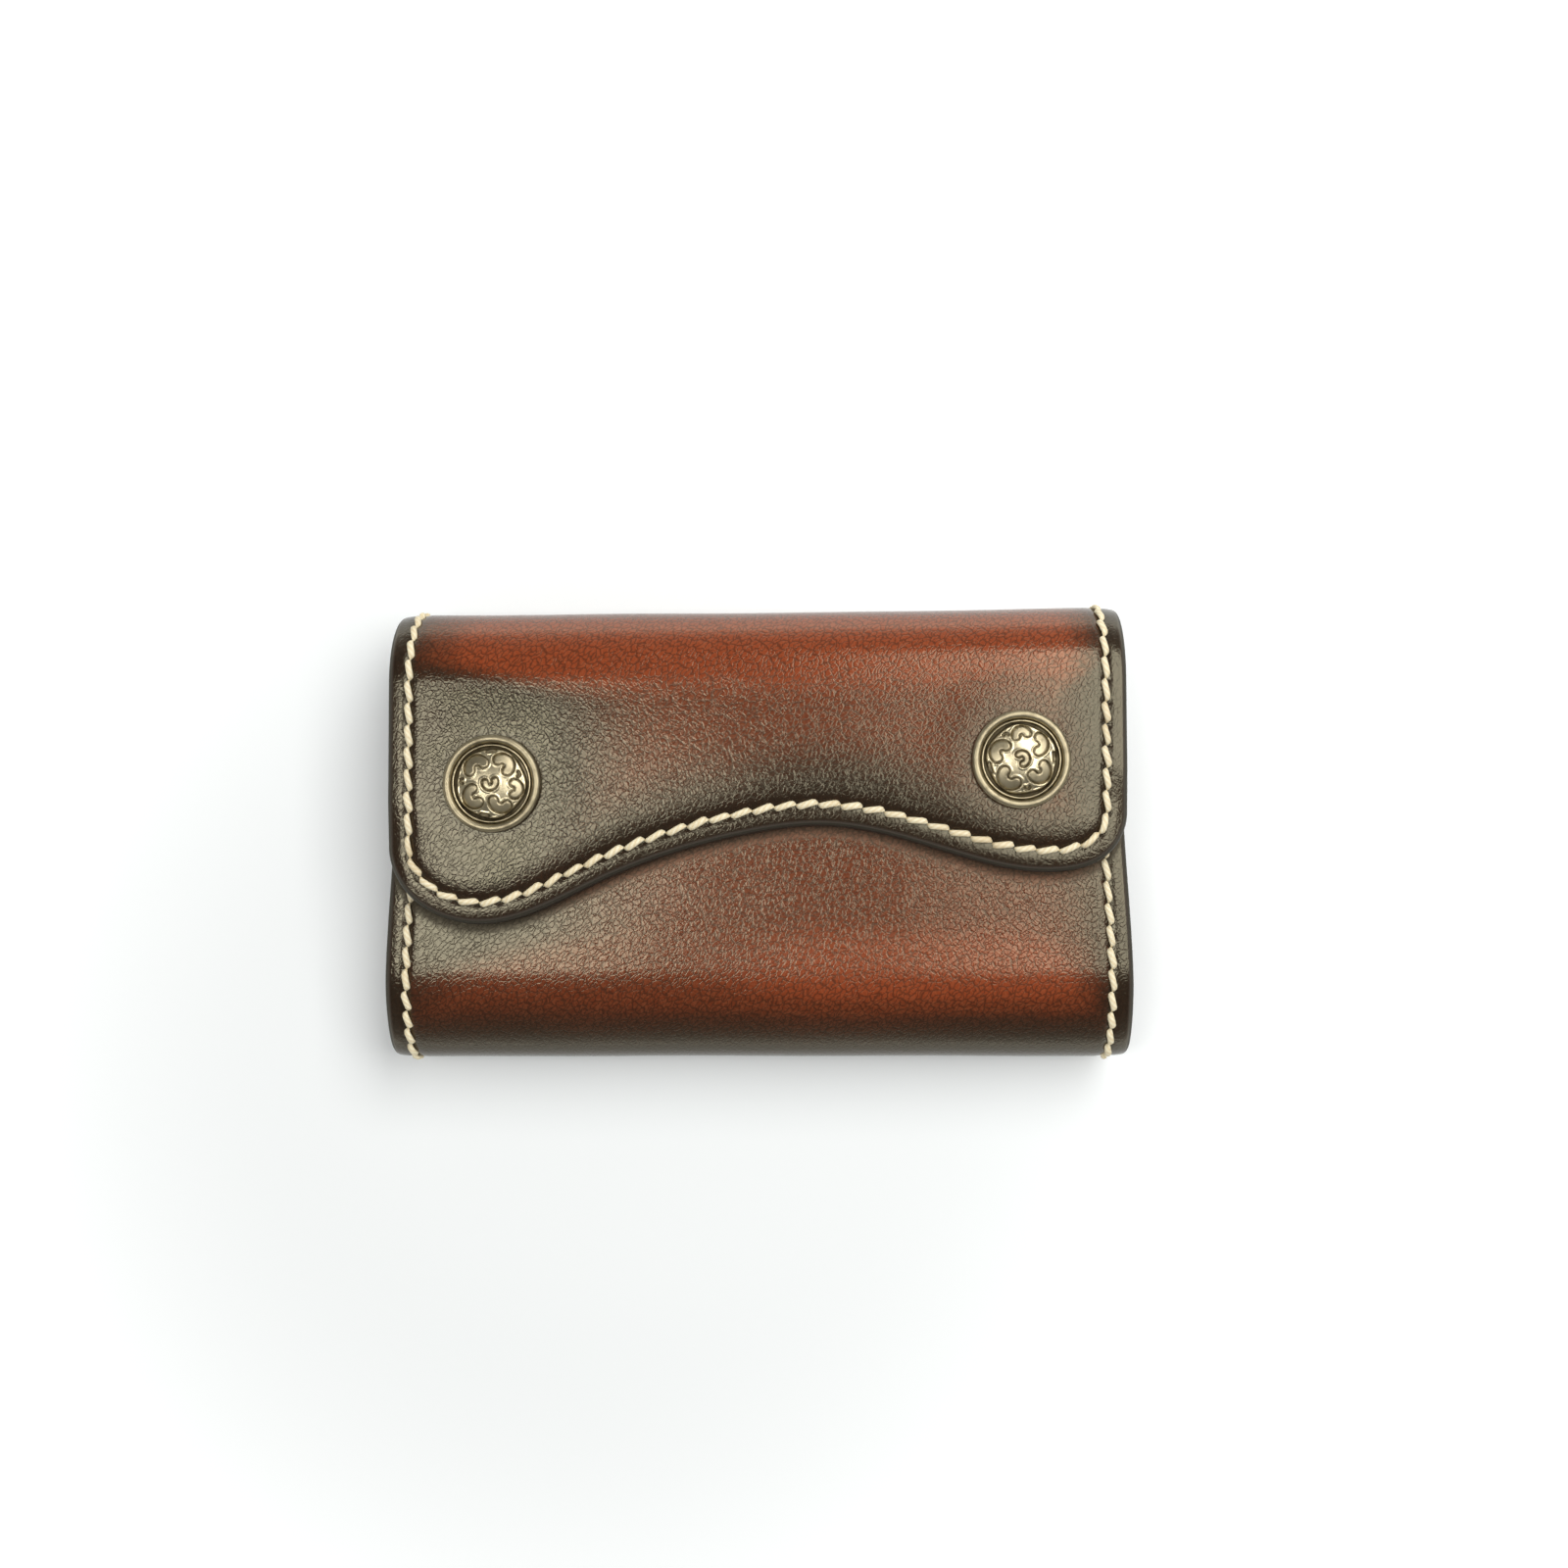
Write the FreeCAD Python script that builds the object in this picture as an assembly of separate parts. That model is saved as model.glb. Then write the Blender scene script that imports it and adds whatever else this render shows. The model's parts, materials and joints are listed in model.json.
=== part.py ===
import FreeCAD, Part
import math
import os

# A tri-fold leather key case, closed and lying on its back.
# X runs along the folds, Y from the lower fold to the fold of the flap, and Z up from the back face.
# Lengths are in millimetres and angles in degrees.

# Leather
case_width = 113.0
case_depth = 69.6
outer_leather = 1.7
lining_leather = 1.1
lower_fold_radius = 9.2
fold_line_angle = 45.0
fold_slit = 0.06
cut_overrun = 1.0

# S-shaped flap edge, from the left side to the right: shares of half the width, and of the flap's length
flap_length = 37.3
flap_edge_shares = (
    (-1.0, 0.668),
    (-0.938, 0.878),
    (-0.761, 0.990),
    (-0.432, 0.825),
    (-0.035, 0.630),
    (0.186, 0.594),
    (0.556, 0.723),
    (0.796, 0.785),
    (0.949, 0.710),
    (1.0, 0.539),
)
flap_edge_samples = 160

# Places of the two snaps, and the leather of the lower panel beyond the higher one
snap_inset = 16.3
left_snap_drop = 15.55
right_snap_drop = 12.25
snap_gap = 2.0
panel_margin = 7.5

# Saddle stitching
stitch_inset = 3.3
stitch_pitch = 3.4
stitch_length = 2.6
stitch_height = 0.4
thread_width = 0.9
stitch_slant = 12.0
stitch_lift = 0.15
groove_margin = 0.15

# Snap cap, its post and the socket under the flap
cap_radius = 7.4
cap_bead_radius = 0.6
cap_bead_height = 0.7
cap_groove_width = 0.5
cap_groove_depth = 0.5
cap_dome_height = 2.3
cap_hollow_radius = 5.4
cap_hollow_height = 0.5
scroll_depth = 0.4
left_scroll_turn = 0.0
right_scroll_turn = 105.0

# Scroll ornament: bean-shaped pockets along arcs, in shares of the dome's radius.
# Each has its arc's centre across and up, its arc's radius and half its width, then the arc's two angles.
scroll_shares = (
    (-0.36, 0.40, 0.22, 0.165, 40, 200),
    (0.30, 0.46, 0.20, 0.160, -40, 120),
    (0.60, -0.16, 0.16, 0.135, -80, 80),
    (0.28, -0.47, 0.20, 0.155, 180, 320),
    (-0.42, -0.34, 0.20, 0.160, 110, 300),
    (0.0, 0.02, 0.14, 0.110, 180, 380),
    (-0.74, 0.06, 0.07, 0.045, 95, 265),
    (0.70, 0.24, 0.07, 0.045, -70, 60),
    (0.0, 0.0, 0.86, 0.045, 82, 98),
    (0.0, 0.0, 0.86, 0.045, 252, 266),
)
post_flange_radius = 4.0
post_flange_height = 0.45
post_radius = 1.8
post_roll_radius = 2.3
post_roll_height = 0.3
post_hole_clearance = 0.1
socket_radius = 4.9
socket_recess = 0.45
socket_plate = 0.5
socket_rise = 0.5
socket_mouth_radius = 3.5
socket_edge_round = 0.3
spring_rise = 0.68
spring_thickness = 0.3
spring_bite = 0.3
spring_opening_angle = 40.0
spring_clearance = 0.02

# Stud on the lower panel, and the rivet that holds it
stud_base_radius = 3.2
stud_base_height = 0.3
stud_neck_radius = 1.8
stud_neck_rise = 1.0
stud_head_radius = 2.3
stud_head_rise = 1.55
stud_head_round = 0.25
stud_rivet_radius = 1.1
stud_rivet_rise = 1.2
stud_rivet_head_radius = 3.5
stud_rivet_head_height = 0.5
seat_clearance = 0.02

# Plate that carries the hooks
plate_inset = 5.5
plate_end_gap = 2.4
plate_strip = 6.0
plate_sheet = 0.8
hood_width = 6.4
hood_height = 7.6
hood_bend = 1.2
hood_lip_gap = 0.4
plate_rivet_inset = 8.0
plate_rivet_radius = 1.2
plate_rivet_head_radius = 2.2
plate_rivet_head_height = 0.7
plate_rivet_clinch_radius = 2.4
plate_rivet_clinch_height = 0.5
pocket_clearance = 0.1

# Swivelling hooks, their gates and the pins of the gates
hook_count = 6
hook_end_margin = 5.0
hook_gap = 0.8
hook_axis_rise = 4.1
hook_length = 24.0
hook_thickness = 1.6
hook_bar = 1.4
hook_neck_radius = 0.95
hook_head_radius = 1.7
hook_head_length = 0.9
hook_collar_length = 1.2
hook_swivel_clearance = 0.06
hook_end_play = 0.1
hook_shoulder_length = 3.4
hook_eye_start = 7.4
gate_pivot_reach = 6.0
gate_tip_reach = 16.8
gate_tip_clearance = 0.15
gate_edge = 0.8
gate_eye_radius = 0.8
gate_eye_thickness = 0.6
gate_arm_width = 1.0
gate_arm_thickness = 1.2
gate_arm_start = 7.9
gate_side_clearance = 0.05
gate_slot_reach = 1.3
gate_pin_radius = 0.45
gate_pin_clearance = 0.05

# Heights and places that follow from the sizes above
leather = outer_leather + lining_leather
half_width = case_width / 2
panel_top = 2 * lower_fold_radius
flap_bottom = panel_top + snap_gap
flap_top = flap_bottom + leather
upper_fold_radius = flap_top / 2
upper_fold_y = case_depth / 2 - upper_fold_radius
lower_fold_y = lower_fold_radius - case_depth / 2
upper_fold = (upper_fold_y, upper_fold_radius, 1)
lower_fold = (lower_fold_y, lower_fold_radius, -1)
stitch_x = half_width - stitch_inset
snap_places = {
    "left": FreeCAD.Vector(snap_inset - half_width, upper_fold_y - left_snap_drop, 0),
    "right": FreeCAD.Vector(half_width - snap_inset, upper_fold_y - right_snap_drop, 0),
}
panel_edge_y = max(place.y for place in snap_places.values()) + panel_margin
plate_y = (upper_fold_y + lower_fold_y) / 2
plate_length = upper_fold_y - lower_fold_y - 2 * plate_end_gap
hook_pitch = (plate_length - 2 * hook_end_margin) / (hook_count - 1)
hook_width = hook_pitch - hook_gap
gate_offset = hook_width / 2 - gate_edge
plate_rear_x = half_width - plate_inset
flange_x = plate_rear_x - plate_strip - hood_width
hook_axis_z = leather + hook_axis_rise
along_x = FreeCAD.Vector(1, 0, 0)
along_y = FreeCAD.Vector(0, 1, 0)
along_z = FreeCAD.Vector(0, 0, 1)


def disc(radius, bottom, top, place=FreeCAD.Vector()):
    """Upright round solid between two heights."""
    return Part.makeCylinder(radius, top - bottom, place + along_z * bottom)


def box(low, high):
    """Upright box between two corners."""
    size = high - low
    return Part.makeBox(size.x, size.y, size.z, low)


def line(start, end):
    """Straight edge."""
    return Part.LineSegment(start, end).toShape()


def closed_face(edges):
    """Flat face inside a ring of edges."""
    return Part.Face(Part.Wire(Part.__sortEdges__(edges)))


def fuse(first, *others):
    """One solid out of solids that meet."""
    return first.multiFuse(list(others)).removeSplitter()


# Folds of the leather

def slit_angle(fold):
    """Half of the slit at a fold line, as an angle."""
    return math.degrees(fold_slit / 2 / fold[1])


def fold_point(fold, depth, angle):
    """Point on a fold, at a depth under its outside and an angle from the back panel."""
    centre_y, radius, side = fold
    reach = radius - depth
    turn = math.radians(angle)
    return FreeCAD.Vector(0, centre_y + side * reach * math.sin(turn), radius - reach * math.cos(turn))


def fold_arc(fold, depth, start, end):
    """Edge that follows a fold between two angles."""
    angles = (start, (start + end) / 2, end)
    return Part.Arc(*(fold_point(fold, depth, angle) for angle in angles)).toShape()


def across(face, width, middle_x=0):
    """Solid of a side-on face over a width."""
    face.translate(along_x * (middle_x - width / 2))
    return face.extrude(along_x * width)


def fold_face(fold, outside, inside, start, end):
    """Side-on face of a layer in a fold."""
    return closed_face([
        fold_arc(fold, outside, start, end),
        line(fold_point(fold, outside, end), fold_point(fold, inside, end)),
        fold_arc(fold, inside, end, start),
        line(fold_point(fold, inside, start), fold_point(fold, outside, start)),
    ])


def back_face(outside, inside):
    """Side-on face of a layer of the back, with the start of both folds."""
    low_end = fold_line_angle - slit_angle(lower_fold)
    high_end = fold_line_angle - slit_angle(upper_fold)
    edges = []
    for depth in (outside, inside):
        edges.append(fold_arc(lower_fold, depth, low_end, 0))
        edges.append(line(fold_point(lower_fold, depth, 0), fold_point(upper_fold, depth, 0)))
        edges.append(fold_arc(upper_fold, depth, 0, high_end))
    for fold, end in ((lower_fold, low_end), (upper_fold, high_end)):
        edges.append(line(fold_point(fold, outside, end), fold_point(fold, inside, end)))
    return closed_face(edges)


def middle_fold(fold, outside, inside):
    """Layer of the part of a fold between its two fold lines."""
    start = fold_line_angle + slit_angle(fold)
    return across(fold_face(fold, outside, inside, start, 180 - start), case_width)


def last_fold(fold, outside, inside):
    """Layer of the part of a fold that belongs to its panel."""
    start = 180 - fold_line_angle + slit_angle(fold)
    return across(fold_face(fold, outside, inside, start, 180), case_width)


# Panels of the leather

def flap_edge():
    """S-shaped free edge of the flap, at height zero."""
    curve = Part.BSplineCurve()
    points = [
        FreeCAD.Vector(across_share * half_width, upper_fold_y - down_share * flap_length, 0)
        for across_share, down_share in flap_edge_shares
    ]
    curve.interpolate(Points=points, InitialTangent=-along_y, FinalTangent=along_y, Scale=False)
    return curve.toShape()


def flap_plate(outside, inside):
    """Flat layer of the flap, from the fold to its free edge."""
    edge = flap_edge()
    left = FreeCAD.Vector(-half_width, upper_fold_y, 0)
    right = FreeCAD.Vector(half_width, upper_fold_y, 0)
    face = closed_face([
        edge,
        line(edge.Vertexes[-1].Point, right),
        line(right, left),
        line(left, edge.Vertexes[0].Point),
    ])
    face.translate(along_z * (flap_top - inside))
    return face.extrude(along_z * (inside - outside))


def flap_layer(outside, inside):
    """Layer of the flap with the end of its fold."""
    return fuse(flap_plate(outside, inside), last_fold(upper_fold, outside, inside))


def panel_layer(outside, inside):
    """Layer of the lower panel with the end of its fold."""
    low = FreeCAD.Vector(-half_width, lower_fold_y, panel_top - inside)
    high = FreeCAD.Vector(half_width, panel_edge_y, panel_top - outside)
    return fuse(box(low, high), last_fold(lower_fold, outside, inside))


# Saddle stitching

def stitch(middle, direction, normal):
    """One slanted stitch that lies on a face."""
    turn = FreeCAD.Rotation(normal, stitch_slant)
    direction = turn.multVec(direction)
    solid = Part.makeBox(stitch_length, thread_width, stitch_height)
    solid.translate(FreeCAD.Vector(-stitch_length / 2, -thread_width / 2, 0))
    axes = FreeCAD.Rotation(direction, normal.cross(direction), normal, "ZXY")
    solid.Placement = FreeCAD.Placement(middle, axes).multiply(solid.Placement)
    return solid


def stitch_row(points, normal):
    """Stitches at an even pitch along a line of points."""
    lengths = [(b - a).Length for a, b in zip(points, points[1:])]
    total = sum(lengths)
    count = int(total / stitch_pitch)
    row = []
    passed = 0
    span = 0
    for number in range(count):
        place = (number + 0.5) * total / count
        while passed + lengths[span] < place:
            passed += lengths[span]
            span += 1
        start, end = points[span], points[span + 1]
        direction = (end - start) * (1 / lengths[span])
        row.append(stitch(start + direction * (place - passed), direction, normal))
    return row


def flap_stitch_line():
    """Line of the stitching on the flap, inside its edges, at height zero."""
    edge = flap_edge()
    low, high = edge.ParameterRange
    points = [FreeCAD.Vector(-stitch_x, upper_fold_y, 0)]
    for number in range(flap_edge_samples + 1):
        place = low + (high - low) * number / flap_edge_samples
        inward = along_z.cross(edge.tangentAt(place))
        points.append(edge.valueAt(place) + inward * stitch_inset)
    points.append(FreeCAD.Vector(stitch_x, upper_fold_y, 0))
    return points


def panel_stitch_line():
    """Line of the stitching on the lower panel, at height zero."""
    top = panel_edge_y - stitch_inset
    corners = ((-stitch_x, lower_fold_y), (-stitch_x, top), (stitch_x, top), (stitch_x, lower_fold_y))
    return [FreeCAD.Vector(x, y, 0) for x, y in corners]


def side_stitch_lines():
    """Lines of the stitching along both sides of the back, at height zero."""
    for x in (-stitch_x, stitch_x):
        yield [FreeCAD.Vector(x, lower_fold_y, 0), FreeCAD.Vector(x, upper_fold_y, 0)]


def raised(points, height):
    """The same line at a height."""
    return [point + along_z * height for point in points]


def fold_stitches(fold, start, end, sink=0):
    """Stitches on the outside and the inside of a fold, along both sides of the case."""
    side = fold[2]
    stitches = []
    for depth, lift, outward in ((sink, 0, 1), (leather, stitch_lift, -1)):
        length = math.radians(end - start) * (fold[1] - depth)
        count = int(length / stitch_pitch)
        for number in range(count):
            angle = start + (number + 0.5) * (end - start) / count
            turn = math.radians(angle)
            normal = FreeCAD.Vector(0, side * math.sin(turn), -math.cos(turn)) * outward
            tangent = FreeCAD.Vector(0, side * math.cos(turn), math.sin(turn))
            middle = fold_point(fold, depth, angle) + normal * lift
            for x in (-stitch_x, stitch_x):
                stitches.append(stitch(middle + along_x * x, tangent, normal))
    return stitches


groove_depth = stitch_height + groove_margin
groove_width = thread_width + stitch_length * math.sin(math.radians(stitch_slant)) + 2 * groove_margin


def stitch_groove(x):
    """Groove that sinks the stitching of the back below its outside face."""
    return across(back_face(-cut_overrun, groove_depth), groove_width, x)


def back_stitching():
    stitches = []
    for points in side_stitch_lines():
        stitches += stitch_row(raised(points, groove_depth), -along_z)
        stitches += stitch_row(raised(points, leather), along_z)
    for fold in (lower_fold, upper_fold):
        stitches += fold_stitches(fold, 0, fold_line_angle, groove_depth)
    return Part.makeCompound(stitches)


def middle_stitching(fold):
    return Part.makeCompound(fold_stitches(fold, fold_line_angle, 180 - fold_line_angle))


def panel_stitching(points, bottom, top, fold):
    stitches = stitch_row(raised(points, top), along_z)
    stitches += stitch_row(raised(points, bottom), -along_z)
    stitches += fold_stitches(fold, 180 - fold_line_angle, 180)
    return Part.makeCompound(stitches)


# Snaps

bead_middle = cap_radius - cap_bead_radius
bead_inside = bead_middle - cap_bead_radius
dome_radius = bead_inside - cap_groove_width
dome_foot = cap_hollow_height + cap_groove_depth
dome_rise = cap_dome_height - dome_foot
dome_sphere = (dome_radius ** 2 + dome_rise ** 2) / (2 * dome_rise)


def scroll_pocket(centre_x_share, centre_y_share, arc_share, half_share, start, end):
    """Upright prism of one bean-shaped pocket of the ornament."""
    centre = FreeCAD.Vector(centre_x_share, centre_y_share, 0) * dome_radius
    arc = arc_share * dome_radius
    half = half_share * dome_radius

    def at(radius, angle):
        turn = math.radians(angle)
        return centre + FreeCAD.Vector(math.cos(turn), math.sin(turn), 0) * radius

    past = math.degrees(half / arc)
    middle = (start + end) / 2
    outline = closed_face([
        Part.Arc(at(arc + half, start), at(arc + half, middle), at(arc + half, end)).toShape(),
        Part.Arc(at(arc + half, end), at(arc, end + past), at(arc - half, end)).toShape(),
        Part.Arc(at(arc - half, end), at(arc - half, middle), at(arc - half, start)).toShape(),
        Part.Arc(at(arc - half, start), at(arc, start - past), at(arc + half, start)).toShape(),
    ])
    outline.translate(along_z * cap_hollow_height)
    return outline.extrude(along_z * cap_dome_height)


def scroll_pockets():
    """All pockets of the ornament, down to a floor that follows the dome."""
    floor_centre = along_z * (cap_dome_height - scroll_depth - dome_sphere)
    floor = Part.makeSphere(dome_sphere, floor_centre)
    return [scroll_pocket(*shares).cut(floor) for shares in scroll_shares]


def snap_cap(place, turn):
    """Ornamental cap: a bead round a groove round a carved dome, hollow underneath."""
    corners = {
        "foot_in": (cap_hollow_radius, 0),
        "foot_out": (cap_radius, 0),
        "bead_out": (cap_radius, cap_bead_height),
        "bead_top": (bead_middle, cap_bead_height + cap_bead_radius),
        "bead_in": (bead_inside, cap_bead_height),
        "groove_out": (bead_inside, cap_hollow_height + cap_groove_depth / 2),
        "groove_in": (dome_radius, cap_hollow_height + cap_groove_depth / 2),
        "dome_foot": (dome_radius, dome_foot),
        "dome_top": (0, cap_dome_height),
        "ceiling": (0, cap_hollow_height),
        "hollow_top": (cap_hollow_radius, cap_hollow_height),
    }
    at = {name: FreeCAD.Vector(r, 0, z) for name, (r, z) in corners.items()}
    half_turn = math.asin(dome_radius / dome_sphere) / 2
    dome_drop = dome_sphere * (1 - math.cos(half_turn))
    dome_middle = FreeCAD.Vector(dome_sphere * math.sin(half_turn), 0, cap_dome_height - dome_drop)
    face = closed_face([
        line(at["foot_in"], at["foot_out"]),
        line(at["foot_out"], at["bead_out"]),
        Part.Arc(at["bead_out"], at["bead_top"], at["bead_in"]).toShape(),
        line(at["bead_in"], at["groove_out"]),
        line(at["groove_out"], at["groove_in"]),
        line(at["groove_in"], at["dome_foot"]),
        Part.Arc(at["dome_foot"], dome_middle, at["dome_top"]).toShape(),
        line(at["dome_top"], at["ceiling"]),
        line(at["ceiling"], at["hollow_top"]),
        line(at["hollow_top"], at["foot_in"]),
    ])
    solid = face.revolve(FreeCAD.Vector(), along_z, 360).cut(scroll_pockets())
    solid.rotate(FreeCAD.Vector(), along_z, turn)
    solid.translate(place + along_z * flap_top)
    return solid


socket_bottom = panel_top + socket_rise
socket_top = flap_bottom + socket_recess
mouth_ceiling = socket_top - socket_plate
spring_bottom = panel_top + spring_rise
spring_top = spring_bottom + spring_thickness
spring_radius = socket_mouth_radius + spring_bite


def cap_post(place):
    """Tubular post that ties the cap to the socket, with its end rolled over."""
    return fuse(
        disc(post_flange_radius, flap_top, flap_top + post_flange_height, place),
        disc(post_radius, mouth_ceiling, flap_top, place),
        disc(post_roll_radius, mouth_ceiling - post_roll_height, mouth_ceiling, place),
    )


def socket(place):
    """Cup under the flap, with a mouth for the stud and a groove for the ring spring."""
    body = disc(socket_radius, socket_bottom, socket_top, place)
    rim = [edge for edge in body.Edges if abs(edge.BoundBox.ZMax - socket_bottom) < seat_clearance]
    body = body.makeFillet(socket_edge_round, rim)
    groove_radius = spring_radius + spring_clearance
    cuts = [
        disc(socket_mouth_radius, socket_bottom - cut_overrun, mouth_ceiling, place),
        disc(groove_radius, spring_bottom - spring_clearance, spring_top + spring_clearance, place),
        disc(post_radius + seat_clearance, mouth_ceiling, socket_top + cut_overrun, place),
    ]
    return body.cut(cuts)


def socket_spring(place):
    """Open ring that closes round the neck of the stud."""
    ring = disc(spring_radius, spring_bottom, spring_top, place)
    hole = disc(stud_neck_radius + spring_clearance, spring_bottom, spring_top, place)
    start = place + along_z * spring_bottom
    opening = Part.makeCylinder(
        spring_radius + cut_overrun, spring_thickness, start, along_z, spring_opening_angle
    )
    return ring.cut([hole, opening])


def stud(place):
    """Stud that the socket snaps on, hollow for its rivet."""
    head = disc(stud_head_radius, panel_top + stud_neck_rise, panel_top + stud_head_rise, place)
    top = [edge for edge in head.Edges if edge.BoundBox.ZMin > panel_top + stud_neck_rise]
    body = fuse(
        disc(stud_base_radius, panel_top, panel_top + stud_base_height, place),
        disc(stud_neck_radius, panel_top + stud_base_height, panel_top + stud_neck_rise, place),
        head.makeFillet(stud_head_round, top),
    )
    return body.cut(disc(stud_rivet_radius + seat_clearance, panel_top, panel_top + stud_rivet_rise, place))


def stud_rivet(place):
    """Rivet from inside the lower panel up into the stud."""
    head_top = panel_top - leather
    return fuse(
        disc(stud_rivet_head_radius, head_top - stud_rivet_head_height, head_top, place),
        disc(stud_rivet_radius, head_top, panel_top + stud_rivet_rise - seat_clearance, place),
    )


def post_holes():
    """Holes in the flap for the posts of both caps."""
    radius = post_radius + post_hole_clearance
    return [disc(radius, flap_bottom, flap_top, place) for place in snap_places.values()]


def socket_seats():
    """Recesses in the lining of the flap for both sockets."""
    radius = socket_radius + seat_clearance
    return [disc(radius, flap_bottom, socket_top, place) for place in snap_places.values()]


def stud_holes():
    """Holes in the lower panel for the rivets of both studs."""
    radius = stud_rivet_radius + post_hole_clearance
    return [disc(radius, panel_top - leather, panel_top, place) for place in snap_places.values()]


# Key plate

rivet_x = plate_rear_x - plate_strip / 2
rivet_places = [
    FreeCAD.Vector(rivet_x, plate_y + side * (plate_length / 2 - plate_rivet_inset), 0) for side in (-1, 1)
]
plate_top = leather + plate_sheet
clinch_bottom = outer_leather - plate_rivet_clinch_height


def hook_y(number):
    """Place of a hook along the plate."""
    return plate_y + (number - (hook_count - 1) / 2) * hook_pitch


def key_plate():
    """Bent sheet: a strip on the lining, a flange with the swivel holes, and a hood over the hook heads."""
    hood_top = leather + hood_height
    hood_x = flange_x + hood_width
    low_y = plate_y - plate_length / 2
    high_y = plate_y + plate_length / 2
    hood = box(FreeCAD.Vector(flange_x, low_y, leather), FreeCAD.Vector(hood_x, high_y, hood_top))
    top_edges = [edge for edge in hood.Edges if edge.BoundBox.ZMin > plate_top]
    bends = [edge for edge in top_edges if edge.BoundBox.YLength > edge.BoundBox.XLength]
    hood = hood.makeFillet(hood_bend, bends)
    inside = box(
        FreeCAD.Vector(flange_x + plate_sheet, low_y - cut_overrun, plate_top),
        FreeCAD.Vector(hood_x - plate_sheet, high_y + cut_overrun, hood_top - plate_sheet),
    )
    lip_gap = box(
        FreeCAD.Vector(hood_x - plate_sheet, low_y - cut_overrun, plate_top),
        FreeCAD.Vector(hood_x + cut_overrun, high_y + cut_overrun, plate_top + hood_lip_gap),
    )
    strip = box(FreeCAD.Vector(hood_x, low_y, leather), FreeCAD.Vector(plate_rear_x, high_y, plate_top))
    cuts = [inside, lip_gap]
    for number in range(hook_count):
        start = FreeCAD.Vector(flange_x - cut_overrun, hook_y(number), hook_axis_z)
        reach = plate_sheet + 2 * cut_overrun
        cuts.append(Part.makeCylinder(hook_neck_radius + hook_swivel_clearance, reach, start, along_x))
    for place in rivet_places:
        cuts.append(disc(plate_rivet_radius + seat_clearance, leather, plate_top, place))
    return fuse(hood, strip).cut(cuts)


def plate_rivets():
    """Two rivets through the plate and the lining, clinched between lining and outer leather."""
    rivets = []
    for place in rivet_places:
        rivets.append(fuse(
            disc(plate_rivet_head_radius, plate_top, plate_top + plate_rivet_head_height, place),
            disc(plate_rivet_radius, outer_leather, plate_top, place),
            disc(plate_rivet_clinch_radius, clinch_bottom, outer_leather, place),
        ))
    return Part.makeCompound(rivets)


def rivet_holes():
    """Holes in the lining of the back for the rivets of the plate."""
    radius = plate_rivet_radius + seat_clearance
    return [disc(radius, outer_leather, leather, place) for place in rivet_places]


def clinch_pockets():
    """Pockets in the outer leather for the clinched ends of those rivets."""
    radius = plate_rivet_clinch_radius + pocket_clearance
    return [disc(radius, clinch_bottom - pocket_clearance, outer_leather, place) for place in rivet_places]


# Hooks and gates, laid out along -X from the flange and set to one place by hook_seat

def hook_point(reach, offset, rise=0):
    """Point of the hook: reach from the flange, offset to its gate side, rise over its middle."""
    return FreeCAD.Vector(-reach, offset, rise)


def hook_plate(edges):
    """Flat piece of the hook, as thick as the hook."""
    face = closed_face(edges)
    face.translate(along_z * -hook_thickness / 2)
    return face.extrude(along_z * hook_thickness)


def rounded_bar(start, end, half):
    """Outline of a bar with a square start and a round end."""
    return [
        line(hook_point(start, -half), hook_point(end, -half)),
        Part.Arc(hook_point(end, -half), hook_point(end + half, 0), hook_point(end, half)).toShape(),
        line(hook_point(end, half), hook_point(start, half)),
        line(hook_point(start, half), hook_point(start, -half)),
    ]


def key_hook():
    """Flat hook on a round neck, open on one side for the gate."""
    half = hook_width / 2
    collar_start = hook_end_play
    collar_end = collar_start + hook_collar_length
    eye_end = hook_length - half
    turned = [
        (hook_head_radius, -plate_sheet - hook_end_play - hook_head_length, -plate_sheet - hook_end_play),
        (hook_neck_radius, -plate_sheet - hook_end_play, collar_start),
        (hook_head_radius, collar_start, collar_end),
    ]
    neck = [Part.makeCylinder(r, end - start, hook_point(start, 0), -along_x) for r, start, end in turned]
    shoulder_end = collar_end + hook_shoulder_length
    shoulder = hook_plate([
        line(hook_point(collar_end, -hook_head_radius), hook_point(collar_end, hook_head_radius)),
        line(hook_point(collar_end, hook_head_radius), hook_point(shoulder_end, half)),
        line(hook_point(shoulder_end, half), hook_point(shoulder_end, -half)),
        line(hook_point(shoulder_end, -half), hook_point(collar_end, -hook_head_radius)),
    ])
    loop = hook_plate(rounded_bar(shoulder_end, eye_end, half))
    eye = hook_plate(rounded_bar(hook_eye_start, eye_end, half - hook_bar))
    side = half + cut_overrun
    mouth = box(
        hook_point(gate_tip_reach + gate_tip_clearance, 0, -hook_thickness),
        hook_point(hook_eye_start, side, hook_thickness),
    )
    slot_half = gate_eye_thickness / 2 + gate_side_clearance
    slot = box(
        hook_point(hook_eye_start, gate_offset - gate_slot_reach, -slot_half),
        hook_point(gate_pivot_reach - gate_slot_reach, side, slot_half),
    )
    pin_hole = disc(gate_pin_radius + seat_clearance, -hook_thickness, hook_thickness, gate_pivot)
    return fuse(shoulder, loop, *neck).cut([eye, mouth, slot, pin_hole])


gate_pivot = hook_point(gate_pivot_reach, gate_offset)


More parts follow.
